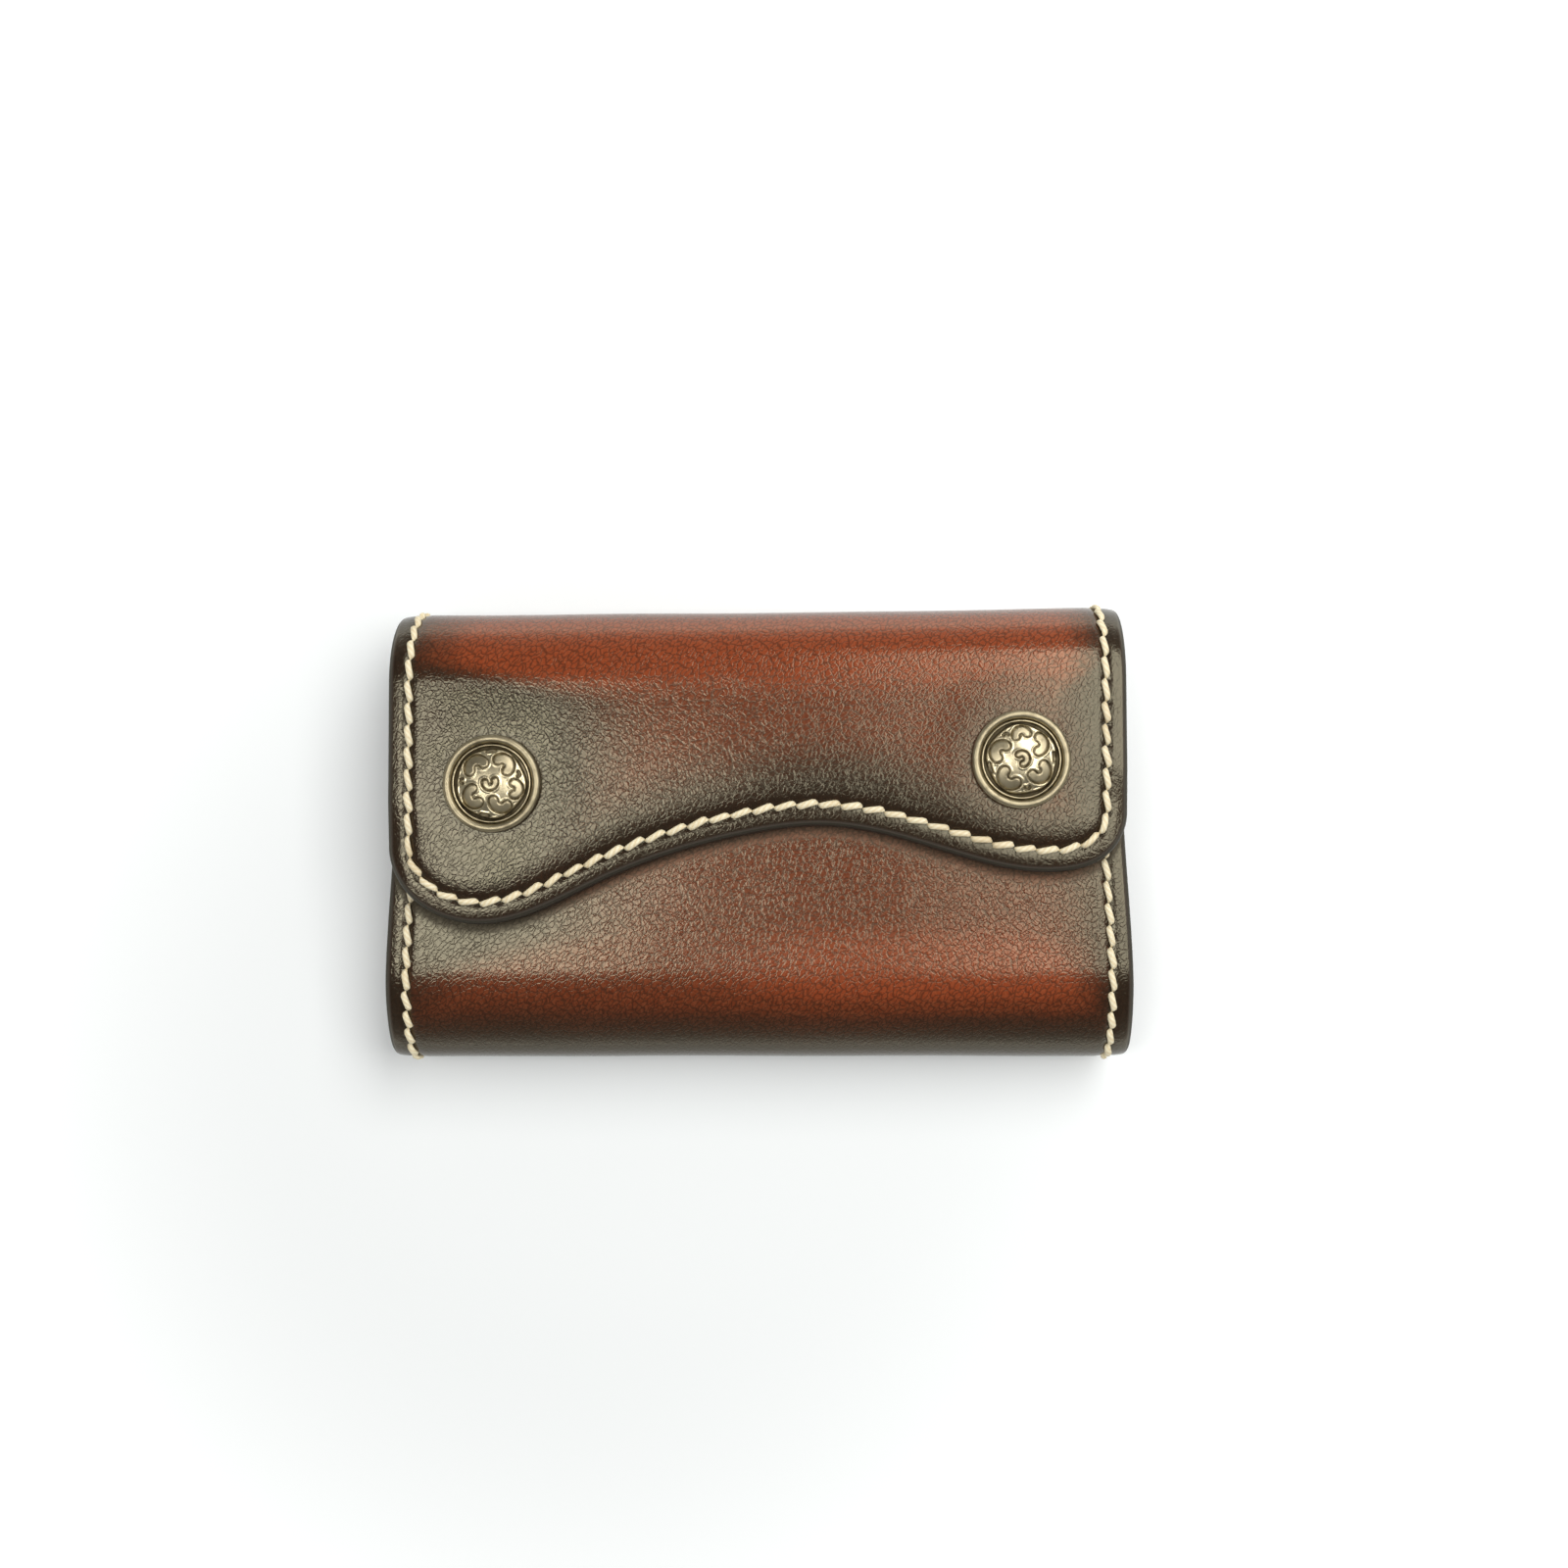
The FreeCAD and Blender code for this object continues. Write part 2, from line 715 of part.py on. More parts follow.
def hook_gate():
    """Sprung bar that closes the mouth of the hook."""
    half = gate_eye_thickness / 2
    low = gate_offset - gate_arm_width / 2
    high = gate_offset + gate_arm_width / 2
    arm_half = gate_arm_thickness / 2
    leaf = box(hook_point(gate_arm_start, low, -half), hook_point(gate_pivot_reach, high, half))
    arm = box(hook_point(gate_tip_reach, low, -arm_half), hook_point(gate_arm_start, high, arm_half))
    gate = fuse(disc(gate_eye_radius, -half, half, gate_pivot), leaf, arm)
    return gate.cut(disc(gate_pin_radius + gate_pin_clearance, -half, half, gate_pivot))


def gate_pin():
    """Pin through the two cheeks of the hook and the eye of its gate."""
    return disc(gate_pin_radius, -hook_thickness / 2, hook_thickness / 2, gate_pivot)


def hook_seat(solid, number):
    """Moves a hook piece to its hole in the flange."""
    solid.translate(FreeCAD.Vector(flange_x, hook_y(number), hook_axis_z))
    return solid


# All pieces by name

lining = (outer_leather, leather)
outside = (0, outer_leather)
pieces = {
    "outer_back": across(back_face(*outside), case_width).cut(
        [stitch_groove(-stitch_x), stitch_groove(stitch_x)] + clinch_pockets()
    ),
    "lining_back": across(back_face(*lining), case_width).cut(rivet_holes()),
    "outer_upper_fold": middle_fold(upper_fold, *outside),
    "lining_upper_fold": middle_fold(upper_fold, *lining),
    "outer_lower_fold": middle_fold(lower_fold, *outside),
    "lining_lower_fold": middle_fold(lower_fold, *lining),
    "outer_flap": flap_layer(*outside).cut(post_holes()),
    "lining_flap": flap_layer(*lining).cut(post_holes() + socket_seats()),
    "outer_lower_panel": panel_layer(*outside).cut(stud_holes()),
    "lining_lower_panel": panel_layer(*lining).cut(stud_holes()),
    "stitching_back": back_stitching(),
    "stitching_upper_fold": middle_stitching(upper_fold),
    "stitching_lower_fold": middle_stitching(lower_fold),
    "stitching_flap": panel_stitching(flap_stitch_line(), flap_bottom, flap_top, upper_fold),
    "stitching_lower_panel": panel_stitching(
        panel_stitch_line(), panel_top - leather, panel_top, lower_fold
    ),
    "key_plate": key_plate(),
    "plate_rivets": plate_rivets(),
}
scroll_turns = {"left": left_scroll_turn, "right": right_scroll_turn}
for side, place in snap_places.items():
    pieces[side + "_snap_cap"] = snap_cap(place, scroll_turns[side])
    pieces[side + "_cap_post"] = cap_post(place)
    pieces[side + "_socket"] = socket(place)
    pieces[side + "_socket_spring"] = socket_spring(place)
    pieces[side + "_stud"] = stud(place)
    pieces[side + "_stud_rivet"] = stud_rivet(place)
for number in range(hook_count):
    pieces["key_hook_%d" % (number + 1)] = hook_seat(key_hook(), number)
    pieces["hook_gate_%d" % (number + 1)] = hook_seat(hook_gate(), number)
    pieces["gate_pin_%d" % (number + 1)] = hook_seat(gate_pin(), number)

os.makedirs("parts", exist_ok=True)
for name, shape in pieces.items():
    shape.exportStep("parts/" + name + ".step")
    print(name, len(shape.Solids), "solids", round(shape.Volume, 2), "mm3", shape.isValid())
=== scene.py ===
# %% [markdown]
# # A leather key case
# The case is a strip of hand-dyed leather with a lining, folded in three and closed by a flap with two snaps.
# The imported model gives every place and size, and this lesson dresses it: leather, thread, caps and metal.
# The frame comes first, because each piece is modelled where the frame says.

# %% Load the frame
import json
import math

import bpy
import numpy as np
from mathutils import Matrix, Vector


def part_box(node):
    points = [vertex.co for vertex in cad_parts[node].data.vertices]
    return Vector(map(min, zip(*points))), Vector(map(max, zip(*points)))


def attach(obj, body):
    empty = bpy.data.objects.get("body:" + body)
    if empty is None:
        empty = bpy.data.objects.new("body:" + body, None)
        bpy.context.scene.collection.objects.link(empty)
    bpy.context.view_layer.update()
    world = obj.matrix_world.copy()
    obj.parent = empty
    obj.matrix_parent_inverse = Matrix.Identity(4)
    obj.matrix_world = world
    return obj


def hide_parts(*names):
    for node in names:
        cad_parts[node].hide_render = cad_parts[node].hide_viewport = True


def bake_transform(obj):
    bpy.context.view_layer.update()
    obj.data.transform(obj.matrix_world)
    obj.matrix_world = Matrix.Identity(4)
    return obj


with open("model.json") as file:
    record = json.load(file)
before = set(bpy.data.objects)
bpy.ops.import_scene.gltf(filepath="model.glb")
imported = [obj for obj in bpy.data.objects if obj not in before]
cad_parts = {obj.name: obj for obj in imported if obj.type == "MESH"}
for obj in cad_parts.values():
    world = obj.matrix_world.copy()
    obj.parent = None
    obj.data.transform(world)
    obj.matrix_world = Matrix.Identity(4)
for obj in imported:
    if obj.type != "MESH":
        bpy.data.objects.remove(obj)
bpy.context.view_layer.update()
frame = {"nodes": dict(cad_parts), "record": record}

MM = 0.001
nodes = frame["nodes"]

# %% [markdown]
# ## Camera
# The photograph looks almost straight down on the closed case, from a hand's length above it.
# So close to the case, the lower panel already looks a little narrower than the flap, which lies higher.
# The camera leans by a few degrees towards the upper fold and to the side, as a camera in the hand does.

# %% Place the camera
camera_place = Vector((10.05, -5.9, 283.2)) * MM
camera_lean = [math.radians(angle) for angle in (2.93, 1.27, -0.25)]
view_angle = math.radians(49.15)
sensor_width = 36

camera = bpy.data.objects.new("camera", bpy.data.cameras.new("camera"))
bpy.context.scene.collection.objects.link(camera)
bpy.context.scene.camera = camera
camera.location = camera_place
camera.rotation_mode = "ZYX"
camera.rotation_euler = camera_lean
camera.data.sensor_width = sensor_width
camera.data.lens = sensor_width / 2 / math.tan(view_angle / 2)
camera.data.clip_start = 10 * MM
print("camera at", [round(value, 3) for value in camera.location])

# %% [markdown]
# ## Shader maths
# A finish is a tree of nodes. Written one by one, the sums hide what the finish is about.
# So a varying number is wrapped in a small class with Python's operators, and each operator adds a Math node.
# Every other node comes from one method: its type, then its settings, then what goes into its sockets.

# %% Finishes as expressions
class Value:
    """A number that varies over a surface."""

    def __init__(self, finish, socket):
        self.finish, self.socket = finish, socket

    def math(self, operation, first, second):
        return self.finish.value("Math", {"operation": operation}, {0: first, 1: second})

    def __add__(self, other):
        return self.math("ADD", self, other)

    def __sub__(self, other):
        return self.math("SUBTRACT", self, other)

    def __rsub__(self, other):
        return self.math("SUBTRACT", other, self)

    def __mul__(self, other):
        return self.math("MULTIPLY", self, other)

    def __abs__(self):
        return self.finish.value("Math", {"operation": "ABSOLUTE"}, {0: self})

    def larger(self, other):
        return self.math("MAXIMUM", self, other)

    def smaller(self, other):
        return self.math("MINIMUM", self, other)

    def rise(self, low, high):
        """0 below low, 1 above high, and a smooth step between them."""
        sockets = {"Value": self, "From Min": low, "From Max": high}
        return self.finish.value("MapRange", {"interpolation_type": "SMOOTHSTEP"}, sockets)

    __radd__ = __add__
    __rmul__ = __mul__


class Finish:
    """The nodes of a material, or of the world."""

    def __init__(self, owner):
        owner.use_nodes = True
        self.owner, self.tree = owner, owner.node_tree
        output = next(node for node in self.tree.nodes if node.type.startswith("OUTPUT"))
        self.shader = output.inputs["Surface"].links[0].from_node

    def node(self, kind, settings=None, sockets=None):
        made = self.tree.nodes.new("ShaderNode" + kind)
        for name, setting in (settings or {}).items():
            setattr(made, name, setting)
        for key, content in (sockets or {}).items():
            named = [socket for socket in made.inputs if socket.enabled and socket.name == key]
            self.feed(named[0] if named else made.inputs[key], content)
        return made

    def feed(self, socket, content):
        source = getattr(content, "socket", content)
        if isinstance(source, bpy.types.NodeSocket):
            self.tree.links.new(source, socket)
        else:
            socket.default_value = source

    def value(self, kind, settings=None, sockets=None):
        """The first output of a new node, as a number for sums."""
        made = self.node(kind, settings, sockets)
        return Value(self, next(socket for socket in made.outputs if socket.enabled))

    def colour(self, first, second, share):
        """A colour between two others."""
        mixed = self.node("Mix", {"data_type": "RGBA"}, {"Factor": share, "A": first, "B": second})
        return next(socket for socket in mixed.outputs if socket.enabled)

    def noise(self, place, scale, detail, dimensions="3D"):
        """Soft noise between 0 and 1."""
        sockets = {"Vector": place, "Scale": scale, "Detail": detail}
        return self.value("TexNoise", {"noise_dimensions": dimensions}, sockets)

    def bump(self, height, depth, strength=1.0):
        """A normal for relief that is this deep in metres where the height is 1."""
        return self.node("Bump", None, {"Strength": strength, "Distance": depth, "Height": height}).outputs[0]

    def surface(self, **sockets):
        """Feeds the shader's sockets, named with underscores for spaces."""
        for name, content in sockets.items():
            self.feed(self.shader.inputs[name.replace("_", " ")], content)
        return self.owner


def new_finish(name):
    return Finish(bpy.data.materials.new(name))


print("helpers:", Value.__name__, Finish.__name__)

# %% [markdown]
# ## Floor and light
# The case lies on a white table between two soft lamps. A large one at the right casts the shadow to the left,
# and an oval one hangs at the left. The flat leather mirrors each lamp on its own side as a pale sheen.
# The room has white walls and a dark ceiling, so the leather stays deep between the lamps
# and turns pale where it curves away.
# The table looks pure white some way off. Close to the case it hardly glows, so the soft shadow stays visible there.

# %% White table
table_width = 6.0
table_drop = 0.1 * MM
table_white = (0.88, 0.90, 0.89, 1)
shadow_place = (-25 * MM, -30 * MM, 0)
glow_in_shadow = 0.08


def deselect():
    bpy.ops.object.select_all(action="DESELECT")


deselect()
bpy.ops.mesh.primitive_plane_add(size=table_width)
table = bpy.context.object
table.name = "table"
table.location.z = -table_drop

paper = new_finish("white_table")
rays = paper.node("LightPath")
seen = Value(paper, rays.outputs["Is Camera Ray"])
for ray in ("Is Glossy Ray", "Is Transmission Ray"):
    seen = seen.larger(Value(paper, rays.outputs[ray]))
on_table = paper.node("TexCoord").outputs["Object"]
away = paper.value("VectorMath", {"operation": "DISTANCE"}, {0: on_table, 1: shadow_place})
brightness = seen * (glow_in_shadow + (1 - glow_in_shadow) * away.rise(50 * MM, 250 * MM))
glow = paper.colour((0, 0, 0, 1), (1, 1, 1, 1), brightness)
paper.surface(Base_Color=table_white, Roughness=0.9, Emission_Color=glow, Emission_Strength=1.0)
paper.surface(Specular_IOR_Level=0.0)
table.data.materials.append(paper.owner)
print("table", table.dimensions.x, "m wide")


# %% Lamps and room
def soft_lamp(name, shape, place, width, length, power):
    """A flat white lamp that faces straight down."""
    lamp = bpy.data.lights.new(name, "AREA")
    lamp.shape, lamp.size, lamp.size_y, lamp.energy = shape, width, length, power
    holder = bpy.data.objects.new(name, lamp)
    bpy.context.scene.collection.objects.link(holder)
    holder.location = place


soft_lamp("lamp_right", "RECTANGLE", place=(0.30, 0.297, 0.62), width=0.43, length=0.766, power=5.0)
soft_lamp("lamp_left", "ELLIPSE", place=(-0.225, -0.006, 0.62), width=0.34, length=0.203, power=1.2)

ceiling, walls = (0.13, 0.13, 0.13, 1), (0.96, 0.97, 0.97, 1)
room = Finish(bpy.data.worlds.new("room"))
bpy.context.scene.world = room.owner
direction = room.node("SeparateXYZ", None, {0: room.node("TexCoord").outputs["Generated"]})
level = 1 - Value(room, direction.outputs["Z"]).larger(0.0)
room.surface(Color=room.colour(ceiling, walls, level * level * level))
bpy.context.scene.view_settings.view_transform = "Standard"
print("lamps:", [light.name for light in bpy.data.lights])

# %% [markdown]
# ## The strip of leather
# The real case is one strip that turns twice: lower panel, lower fold, back, upper fold and flap.
# A point of the strip is given by its place across the case and its place along the strip, as on a cutting pattern.
# One function then folds the pattern round both folds.
# Leather, lining and thread all pass through it, so they stay together.
# Damp leather spreads where it is pressed into a tight fold, so the strip is a little wider at the lower one.
# The folds also stand out a little further than round ones, the upper one most at its right end.

# %% Fold the cutting pattern
def reach(node, corner, axis):
    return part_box(node)[corner][axis] / MM


half_width = reach("outer_back", 1, 0)
panel_top = reach("outer_lower_panel", 1, 2)
flap_top = reach("outer_flap", 1, 2)
panel_edge_y = reach("outer_lower_panel", 1, 1)
lower_radius, upper_radius = panel_top / 2, flap_top / 2
lower_y = reach("outer_lower_fold", 0, 1) + lower_radius
upper_y = reach("outer_upper_fold", 1, 1) - upper_radius

lower_start = panel_edge_y - lower_y
back_start = lower_start + math.pi * lower_radius
upper_start = back_start + upper_y - lower_y
flap_start = upper_start + math.pi * upper_radius
lower_seam = (lower_start + back_start) / 2
side_spread, spread_start, spread_hold = 1.4, 10, 10
lower_bulge, upper_bulge, right_bulge, right_bulge_start = 0.35, 0.5, 0.5, 10


def smooth_step(value, low, high):
    """0 below low, 1 above high, and a smooth step between them."""
    share = np.clip((value - low) / (high - low), 0, 1)
    return share * share * (3 - 2 * share)


def fade(distance, start, end, strength=1):
    """Full strength up to start, and none from end on."""
    return strength - strength * smooth_step(distance, start, end)


def folded(across, along, depth):
    """Points in metres, from places across and along the pattern and depth under its outer face, in mm."""
    spread = smooth_step(along, spread_start, lower_start) * fade(along, lower_start + spread_hold, back_start)
    across = across * (1 + side_spread / half_width * spread)
    lower = np.clip((along - lower_start) / lower_radius, 0, math.pi)
    upper = np.clip((along - upper_start) / upper_radius, 0, math.pi)
    panel = np.clip(along, None, lower_start)
    back = np.clip(along - back_start, 0, upper_start - back_start)
    flap = np.clip(along - flap_start, 0, None)
    lower_reach = lower_radius + lower_bulge
    upper_reach = upper_radius + upper_bulge + right_bulge * smooth_step(across, right_bulge_start, half_width)
    y = panel_edge_y - panel - lower_reach * np.sin(lower) + back + upper_reach * np.sin(upper) - flap
    z = lower_radius * (1 + np.cos(lower)) + upper_radius * (1 - np.cos(upper))
    turned = lower + upper
    return np.stack([across, y + np.sin(turned) * depth, z - np.cos(turned) * depth], -1) * MM


print("the strip is", round(flap_start, 1), "mm long up to the flap")

# %% [markdown]
# ## The S-shaped edge
# The flap ends in one flowing line: a deep lobe at the left, a hollow in the middle, a shallow lobe at the right.
# Ten points of the line are known. A smooth curve through them needs a slope at each point.
# The slopes come from the usual spline equations, with both ends leaving straight along the sides.

# %% Curve through the edge points
flap_length = 37.3
edge_samples, steps_per_span = 280, 200
edge_shares = np.array([
    (-1.0, 0.668), (-0.938, 0.878), (-0.761, 0.990), (-0.432, 0.825), (-0.035, 0.630),
    (0.186, 0.594), (0.556, 0.723), (0.796, 0.785), (0.949, 0.710), (1.0, 0.539),
])


def smooth_line(points, first_slope, last_slope, samples):
    """A smooth curve through points, sampled at even steps of its own length."""
    spans = np.linalg.norm(np.diff(points, axis=0), axis=1)
    rises = np.diff(points, axis=0) / spans[:, None]
    count = len(points)
    weights, sums = np.eye(count), np.zeros((count, 2))
    sums[0], sums[-1] = first_slope, last_slope
    for k in range(1, count - 1):
        weights[k, k - 1:k + 2] = spans[k], 2 * (spans[k - 1] + spans[k]), spans[k - 1]
        sums[k] = 3 * (spans[k] * rises[k - 1] + spans[k - 1] * rises[k])
    slopes = np.linalg.solve(weights, sums)
    fine = []
    for k, span in enumerate(spans):
        t = np.linspace(0, 1, steps_per_span, endpoint=False)[:, None]
        fine.append(
            points[k] * (1 + 2 * t) * (1 - t) ** 2 + points[k + 1] * t ** 2 * (3 - 2 * t)
            + slopes[k] * span * t * (1 - t) ** 2 + slopes[k + 1] * span * t ** 2 * (t - 1)
        )
    return even_steps(np.vstack(fine + [points[-1:]]), samples)


def length_along(line):
    return np.concatenate([[0], np.cumsum(np.linalg.norm(np.diff(line, axis=0), axis=1))])


def even_steps(line, samples):
    passed = length_along(line)
    places = np.linspace(0, passed[-1], samples)
    return np.stack([np.interp(places, passed, line[:, axis]) for axis in (0, 1)], -1)


edge_points = edge_shares * (half_width, flap_length) + (0, flap_start)
flap_edge = smooth_line(edge_points, (0, 1), (0, -1), edge_samples)
print("the flap's edge is", round(length_along(flap_edge)[-1], 1), "mm long")

# %% [markdown]
# ## The line of the thread
# One thread runs all the way round the strip, a few millimetres inside its edges.
# On the pattern that is a closed loop: up the left side, along the S-shaped edge, down the right side and back.
# The holes are pricked at an even pitch along it. Leather and stitches both read these holes.

# %% Loop of stitch holes
stitch_inset = 3.3
stitch_pitch = 3.4
corner_round, corner_points = 2.5, 9
look_ahead = 0.2
stitch_x = half_width - stitch_inset


def arc(centre, start, end):
    turn = np.radians(np.linspace(start, end, corner_points))
    return np.array(centre) + corner_round * np.stack([np.cos(turn), np.sin(turn)], -1)


headings = np.gradient(flap_edge, axis=0)
headings /= np.linalg.norm(headings, axis=1)[:, None]
inside_edge = flap_edge + stitch_inset * np.stack([headings[:, 1], -headings[:, 0]], -1)
corner_x, corner_s = stitch_x - corner_round, stitch_inset + corner_round
thread_line = np.vstack([
    arc((-corner_x, corner_s), 270, 180), inside_edge, arc((corner_x, corner_s), 0, -90),
    [(-corner_x, stitch_inset)],
])
thread_length = length_along(thread_line)
stitch_count = round(thread_length[-1] / stitch_pitch)
stitch_step = thread_length[-1] / stitch_count


def on_thread(place):
    """Point of the thread's loop and the direction to its left, at a length along the loop."""
    place = np.mod(place, thread_length[-1])
    ahead = np.mod(place + look_ahead, thread_length[-1])
    point, after = [
        np.stack([np.interp(at, thread_length, thread_line[:, axis]) for axis in (0, 1)], -1)
        for at in (place, ahead)
    ]
    heading = after - point
    heading /= np.maximum(np.linalg.norm(heading, axis=-1), 1e-9)[..., None]
    return point, np.stack([heading[..., 1], -heading[..., 0]], -1)


holes = on_thread(np.arange(stitch_count) * stitch_step)[0]
print(stitch_count, "stitches in a loop of", round(thread_length[-1]), "mm")

# %% [markdown]
# ## The form of the leather
# Leather never lies quite flat. Its sides are pressed down by the stitching, the flap sags towards its edge,
# and the lower fold starts early and bends in a quarter of an ellipse.
# All this moves the whole thickness of the strip, and the thread with it.

# %% Places on the leather
outer_thickness, lining_thickness = 1.7, 1.1
leather_thickness = outer_thickness + lining_thickness
caps = {}
for side in ("left", "right"):
    low_corner, high_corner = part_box(side + "_snap_cap")
    caps[side] = (low_corner + high_corner) / 2 / MM
cap_places = [np.array([middle.x, flap_start + upper_y - middle.y]) for middle in caps.values()]


def line_distance(points, line):
    """Distance of each point of the pattern from a line."""
    nearest = np.full(len(points), np.inf)
    for start, end in zip(line, line[1:]):
        run = end - start
        share = np.clip((points - start) @ run / (run @ run + 1e-12), 0, 1)
        nearest = np.minimum(nearest, np.linalg.norm(points - start - share[:, None] * run, axis=1))
    return nearest


def edge_distance(points):
    """Distance from the nearest cut edge: a side, the flap's edge or the panel's."""
    nearest = np.minimum(half_width - np.abs(points[:, 0]), points[:, 1])
    if points[:, 1].max() > flap_start:
        nearest = np.minimum(nearest, line_distance(points, flap_edge))
    return nearest


print("caps at", [np.round(place, 1).tolist() for place in cap_places])

# %% Slow forms of the whole thickness
fold_ease = 5.0
wave_height = 0.09
flap_sag, sag_reach, sag_start = 0.9, (-2, 8), 12
margin_press, margin_reach = 0.55, (-1.5, 3.6)
calm_round_caps = (7, 16)


def eased(along):
    """How far the lower fold lies inside a round one, in mm."""
    turn = np.clip((along - lower_start) / lower_radius, 0, math.pi / 2)
    wide, high = lower_radius + fold_ease, lower_radius
    out = np.clip(fold_ease + np.clip(along - lower_start, None, 0), 0, None) + lower_radius * np.sin(turn)
    up = lower_radius * np.cos(turn)
    square = (np.sin(turn) / wide) ** 2 + (np.cos(turn) / high) ** 2
    half = out * np.sin(turn) / wide ** 2 + up * np.cos(turn) / high ** 2
    rest = (out / wide) ** 2 + (up / high) ** 2 - 1
    depth = (half - np.sqrt(np.clip(half ** 2 - square * rest, 0, None))) / square
    return np.where(along < lower_seam, np.clip(depth, 0, None), 0)


def sway(points):
    """How far the whole thickness lies inwards of an even strip, in mm."""
    x, s = points.T
    free = 1 - smooth_step(s, lower_start + 6, back_start) * fade(s, upper_start, upper_start + 12)
    waves = wave_height * (1 + np.sin(0.062 * x + 0.13 * s + 1.0) * np.sin(0.11 * x - 0.07 * s + 0.4))
    for place in cap_places:
        waves = waves * smooth_step(np.linalg.norm(points - place, axis=1), *calm_round_caps)
    margin = margin_press * fade(half_width - np.abs(x), *margin_reach)
    sag = np.zeros(len(points))
    if s.max() > flap_start:
        near_edge = fade(line_distance(points, flap_edge), *sag_reach)
        sag = flap_sag * near_edge * smooth_step(s, flap_start, flap_start + sag_start)
    return free * (waves + margin) + sag + eased(s)


middle_of_panel = np.array([(0.0, lower_start / 2)])
print("the middle of the panel lies", sway(middle_of_panel).round(2).tolist(), "mm inwards")

# %% [markdown]
# ## Relief of the outer face
# The thread pulls a shallow groove into the leather, with a pit at each hole, and the cut edges are rounded off.
# The leather also sinks a little under the caps. On the back, the thread lies deeper, so that the case lies flat.
# These forms could be bump in the finish, but as real relief they catch the light in any view.

# %% Grooves, pits and rounded edges
edge_round = 0.8
groove_depth, groove_width, back_groove_depth = 0.26, 0.85, 0.5
pit_depth, pit_width, hole_width = 0.22, 0.5, 0.45
cap_sink, cap_sink_width = 0.1, 8.5


def sunk(along):
    """How far the thread is sunk, so that the case lies flat on its back."""
    lower = smooth_step(along, back_start - 11, back_start - 6)
    return back_groove_depth * lower * fade(along, upper_start + 8, upper_start + 13)


def relief(points, distance):
    """Depth of the grooves, pits and rounded edges in the outer face, and how near each point is to a hole."""
    to_thread = line_distance(points, thread_line)
    near = np.full(len(points), 9.0)
    for hole in holes:
        near = np.minimum(near, np.linalg.norm(points - hole, axis=1))
    groove = (groove_depth + sunk(points[:, 1])) * np.exp(-(to_thread / groove_width) ** 2)
    pit = pit_depth * np.exp(-(near / pit_width) ** 2)
    to_caps = [np.linalg.norm(points - place, axis=1) for place in cap_places]
    pressed = sum(cap_sink * np.exp(-(to_cap / cap_sink_width) ** 4) for to_cap in to_caps)
    missing = np.clip(edge_round - distance, 0, edge_round)
    rounding = edge_round - np.sqrt(edge_round ** 2 - missing ** 2)
    return groove + pit + pressed + rounding, np.exp(-(near / hole_width) ** 2)


print("the thread lies", groove_depth, "mm deep, and", groove_depth + back_groove_depth, "mm on the back")

# %% [markdown]
# ## How the dye is rubbed, with painted shade
# The dye is rubbed on by hand, darkest at the left, along the edges and round the caps.
# Near both folds, on the front, the leather is a brighter red-brown.
# Round the lower fold and over the back it is darker, partly dye and partly painted shade where the strip turns from
# the lamps.
# A faint dark line on the panel along the closed flap's edge is the flap's painted shadow, and what the flap covers
# is never polished by a hand.
# These zones follow the pattern, so they are worked out for each point of the strip.

# %% Dye, painted shade and covered zones
left_tone, right_tone, cap_tones, flap_shadow_tone = 0.7, 0.8, (0.9, 0.5), 0.6
fold_dye_and_shade, under_fold_dye_and_shade, lower_band_share = 0.70, 0.25, 0.8
flap_line_on_panel = flap_edge + (0, panel_edge_y - upper_y - flap_start)


def dye_and_painted_shade(points, distance):
    """Dye with painted shade: 1 is almost black, 0 is the open leather and -1 is the bright red-brown near the folds.
    """
    x, s = points.T
    on_flap = smooth_step(s, flap_start - 4, flap_start + 4)
    on_panel = fade(s, lower_start - 12, lower_start - 2)

    def inwards(elsewhere, flap, panel):
        """A distance from an edge in mm, with its own value on the flap and on the panel."""
        return elsewhere + (flap - elsewhere) * on_flap + (panel - elsewhere) * on_panel

    dark = fade(half_width + x, inwards(1, 20, 12), inwards(17, 48, 52))
    dark = dark * (left_tone + (1 - left_tone) * np.maximum(on_flap, on_panel))
    dark = np.maximum(dark, fade(half_width - x, 2, inwards(12, 12, 18), right_tone))
    dark = np.maximum(dark, fade(distance, 3, inwards(6, 19, 6)))
    for place, tone in zip(cap_places, cap_tones):
        dark = np.maximum(dark, fade(np.linalg.norm(points - place, axis=1), 7, 18, tone))
    if s.min() < 1:
        # painted shadow: a faint dark line on the panel along the closed flap's edge
        dark = np.maximum(dark, fade(line_distance(points, flap_line_on_panel), 0.3, 1.5, flap_shadow_tone))
    # painted shade with darker dye: darker round the lower fold and over the back, which turn from the lamps
    fold = fold_dye_and_shade * smooth_step(s, lower_start - 3, lower_start + 5)
    fold = fold + under_fold_dye_and_shade * smooth_step(s, lower_start + 4, lower_start + 9)
    fold = fold * fade(s, upper_start - 4, upper_start + 10)
    # a brighter red-brown near both folds, on the front
    upper_band = smooth_step(s, flap_start - 16, flap_start - 8) * fade(s, flap_start - 4, flap_start + 5)
    lower_band = smooth_step(s, lower_start - 15, lower_start - 5) * fade(s, lower_start - 2, lower_start + 4)
    worn = upper_band + lower_band_share * lower_band * smooth_step(x, -25, 20)
    return np.maximum(dark, fold) - worn * fade(dark, 0.0, 0.7)


def covered(points):
    """1 where the closed flap covers the panel, and 0 elsewhere."""
    x, s = points.T
    return fade(s - np.interp(x, *flap_line_on_panel.T), 0.3, 2.4)


print("the flap covers the panel up to", round(flap_line_on_panel[:, 1].max(), 1), "mm from its edge")

# %% [markdown]
# ## Cutting the sheets
# Each stretch of leather starts as a grid primitive, with finer rows where the groove and the edges are.
# Its vertices are laid on the pattern and folded, and Solidify gives the sheet its thickness.
# The strip bends at four hinge lines, and a piece can bend at one.
# So it is cut into four sheets that meet where nothing bends.

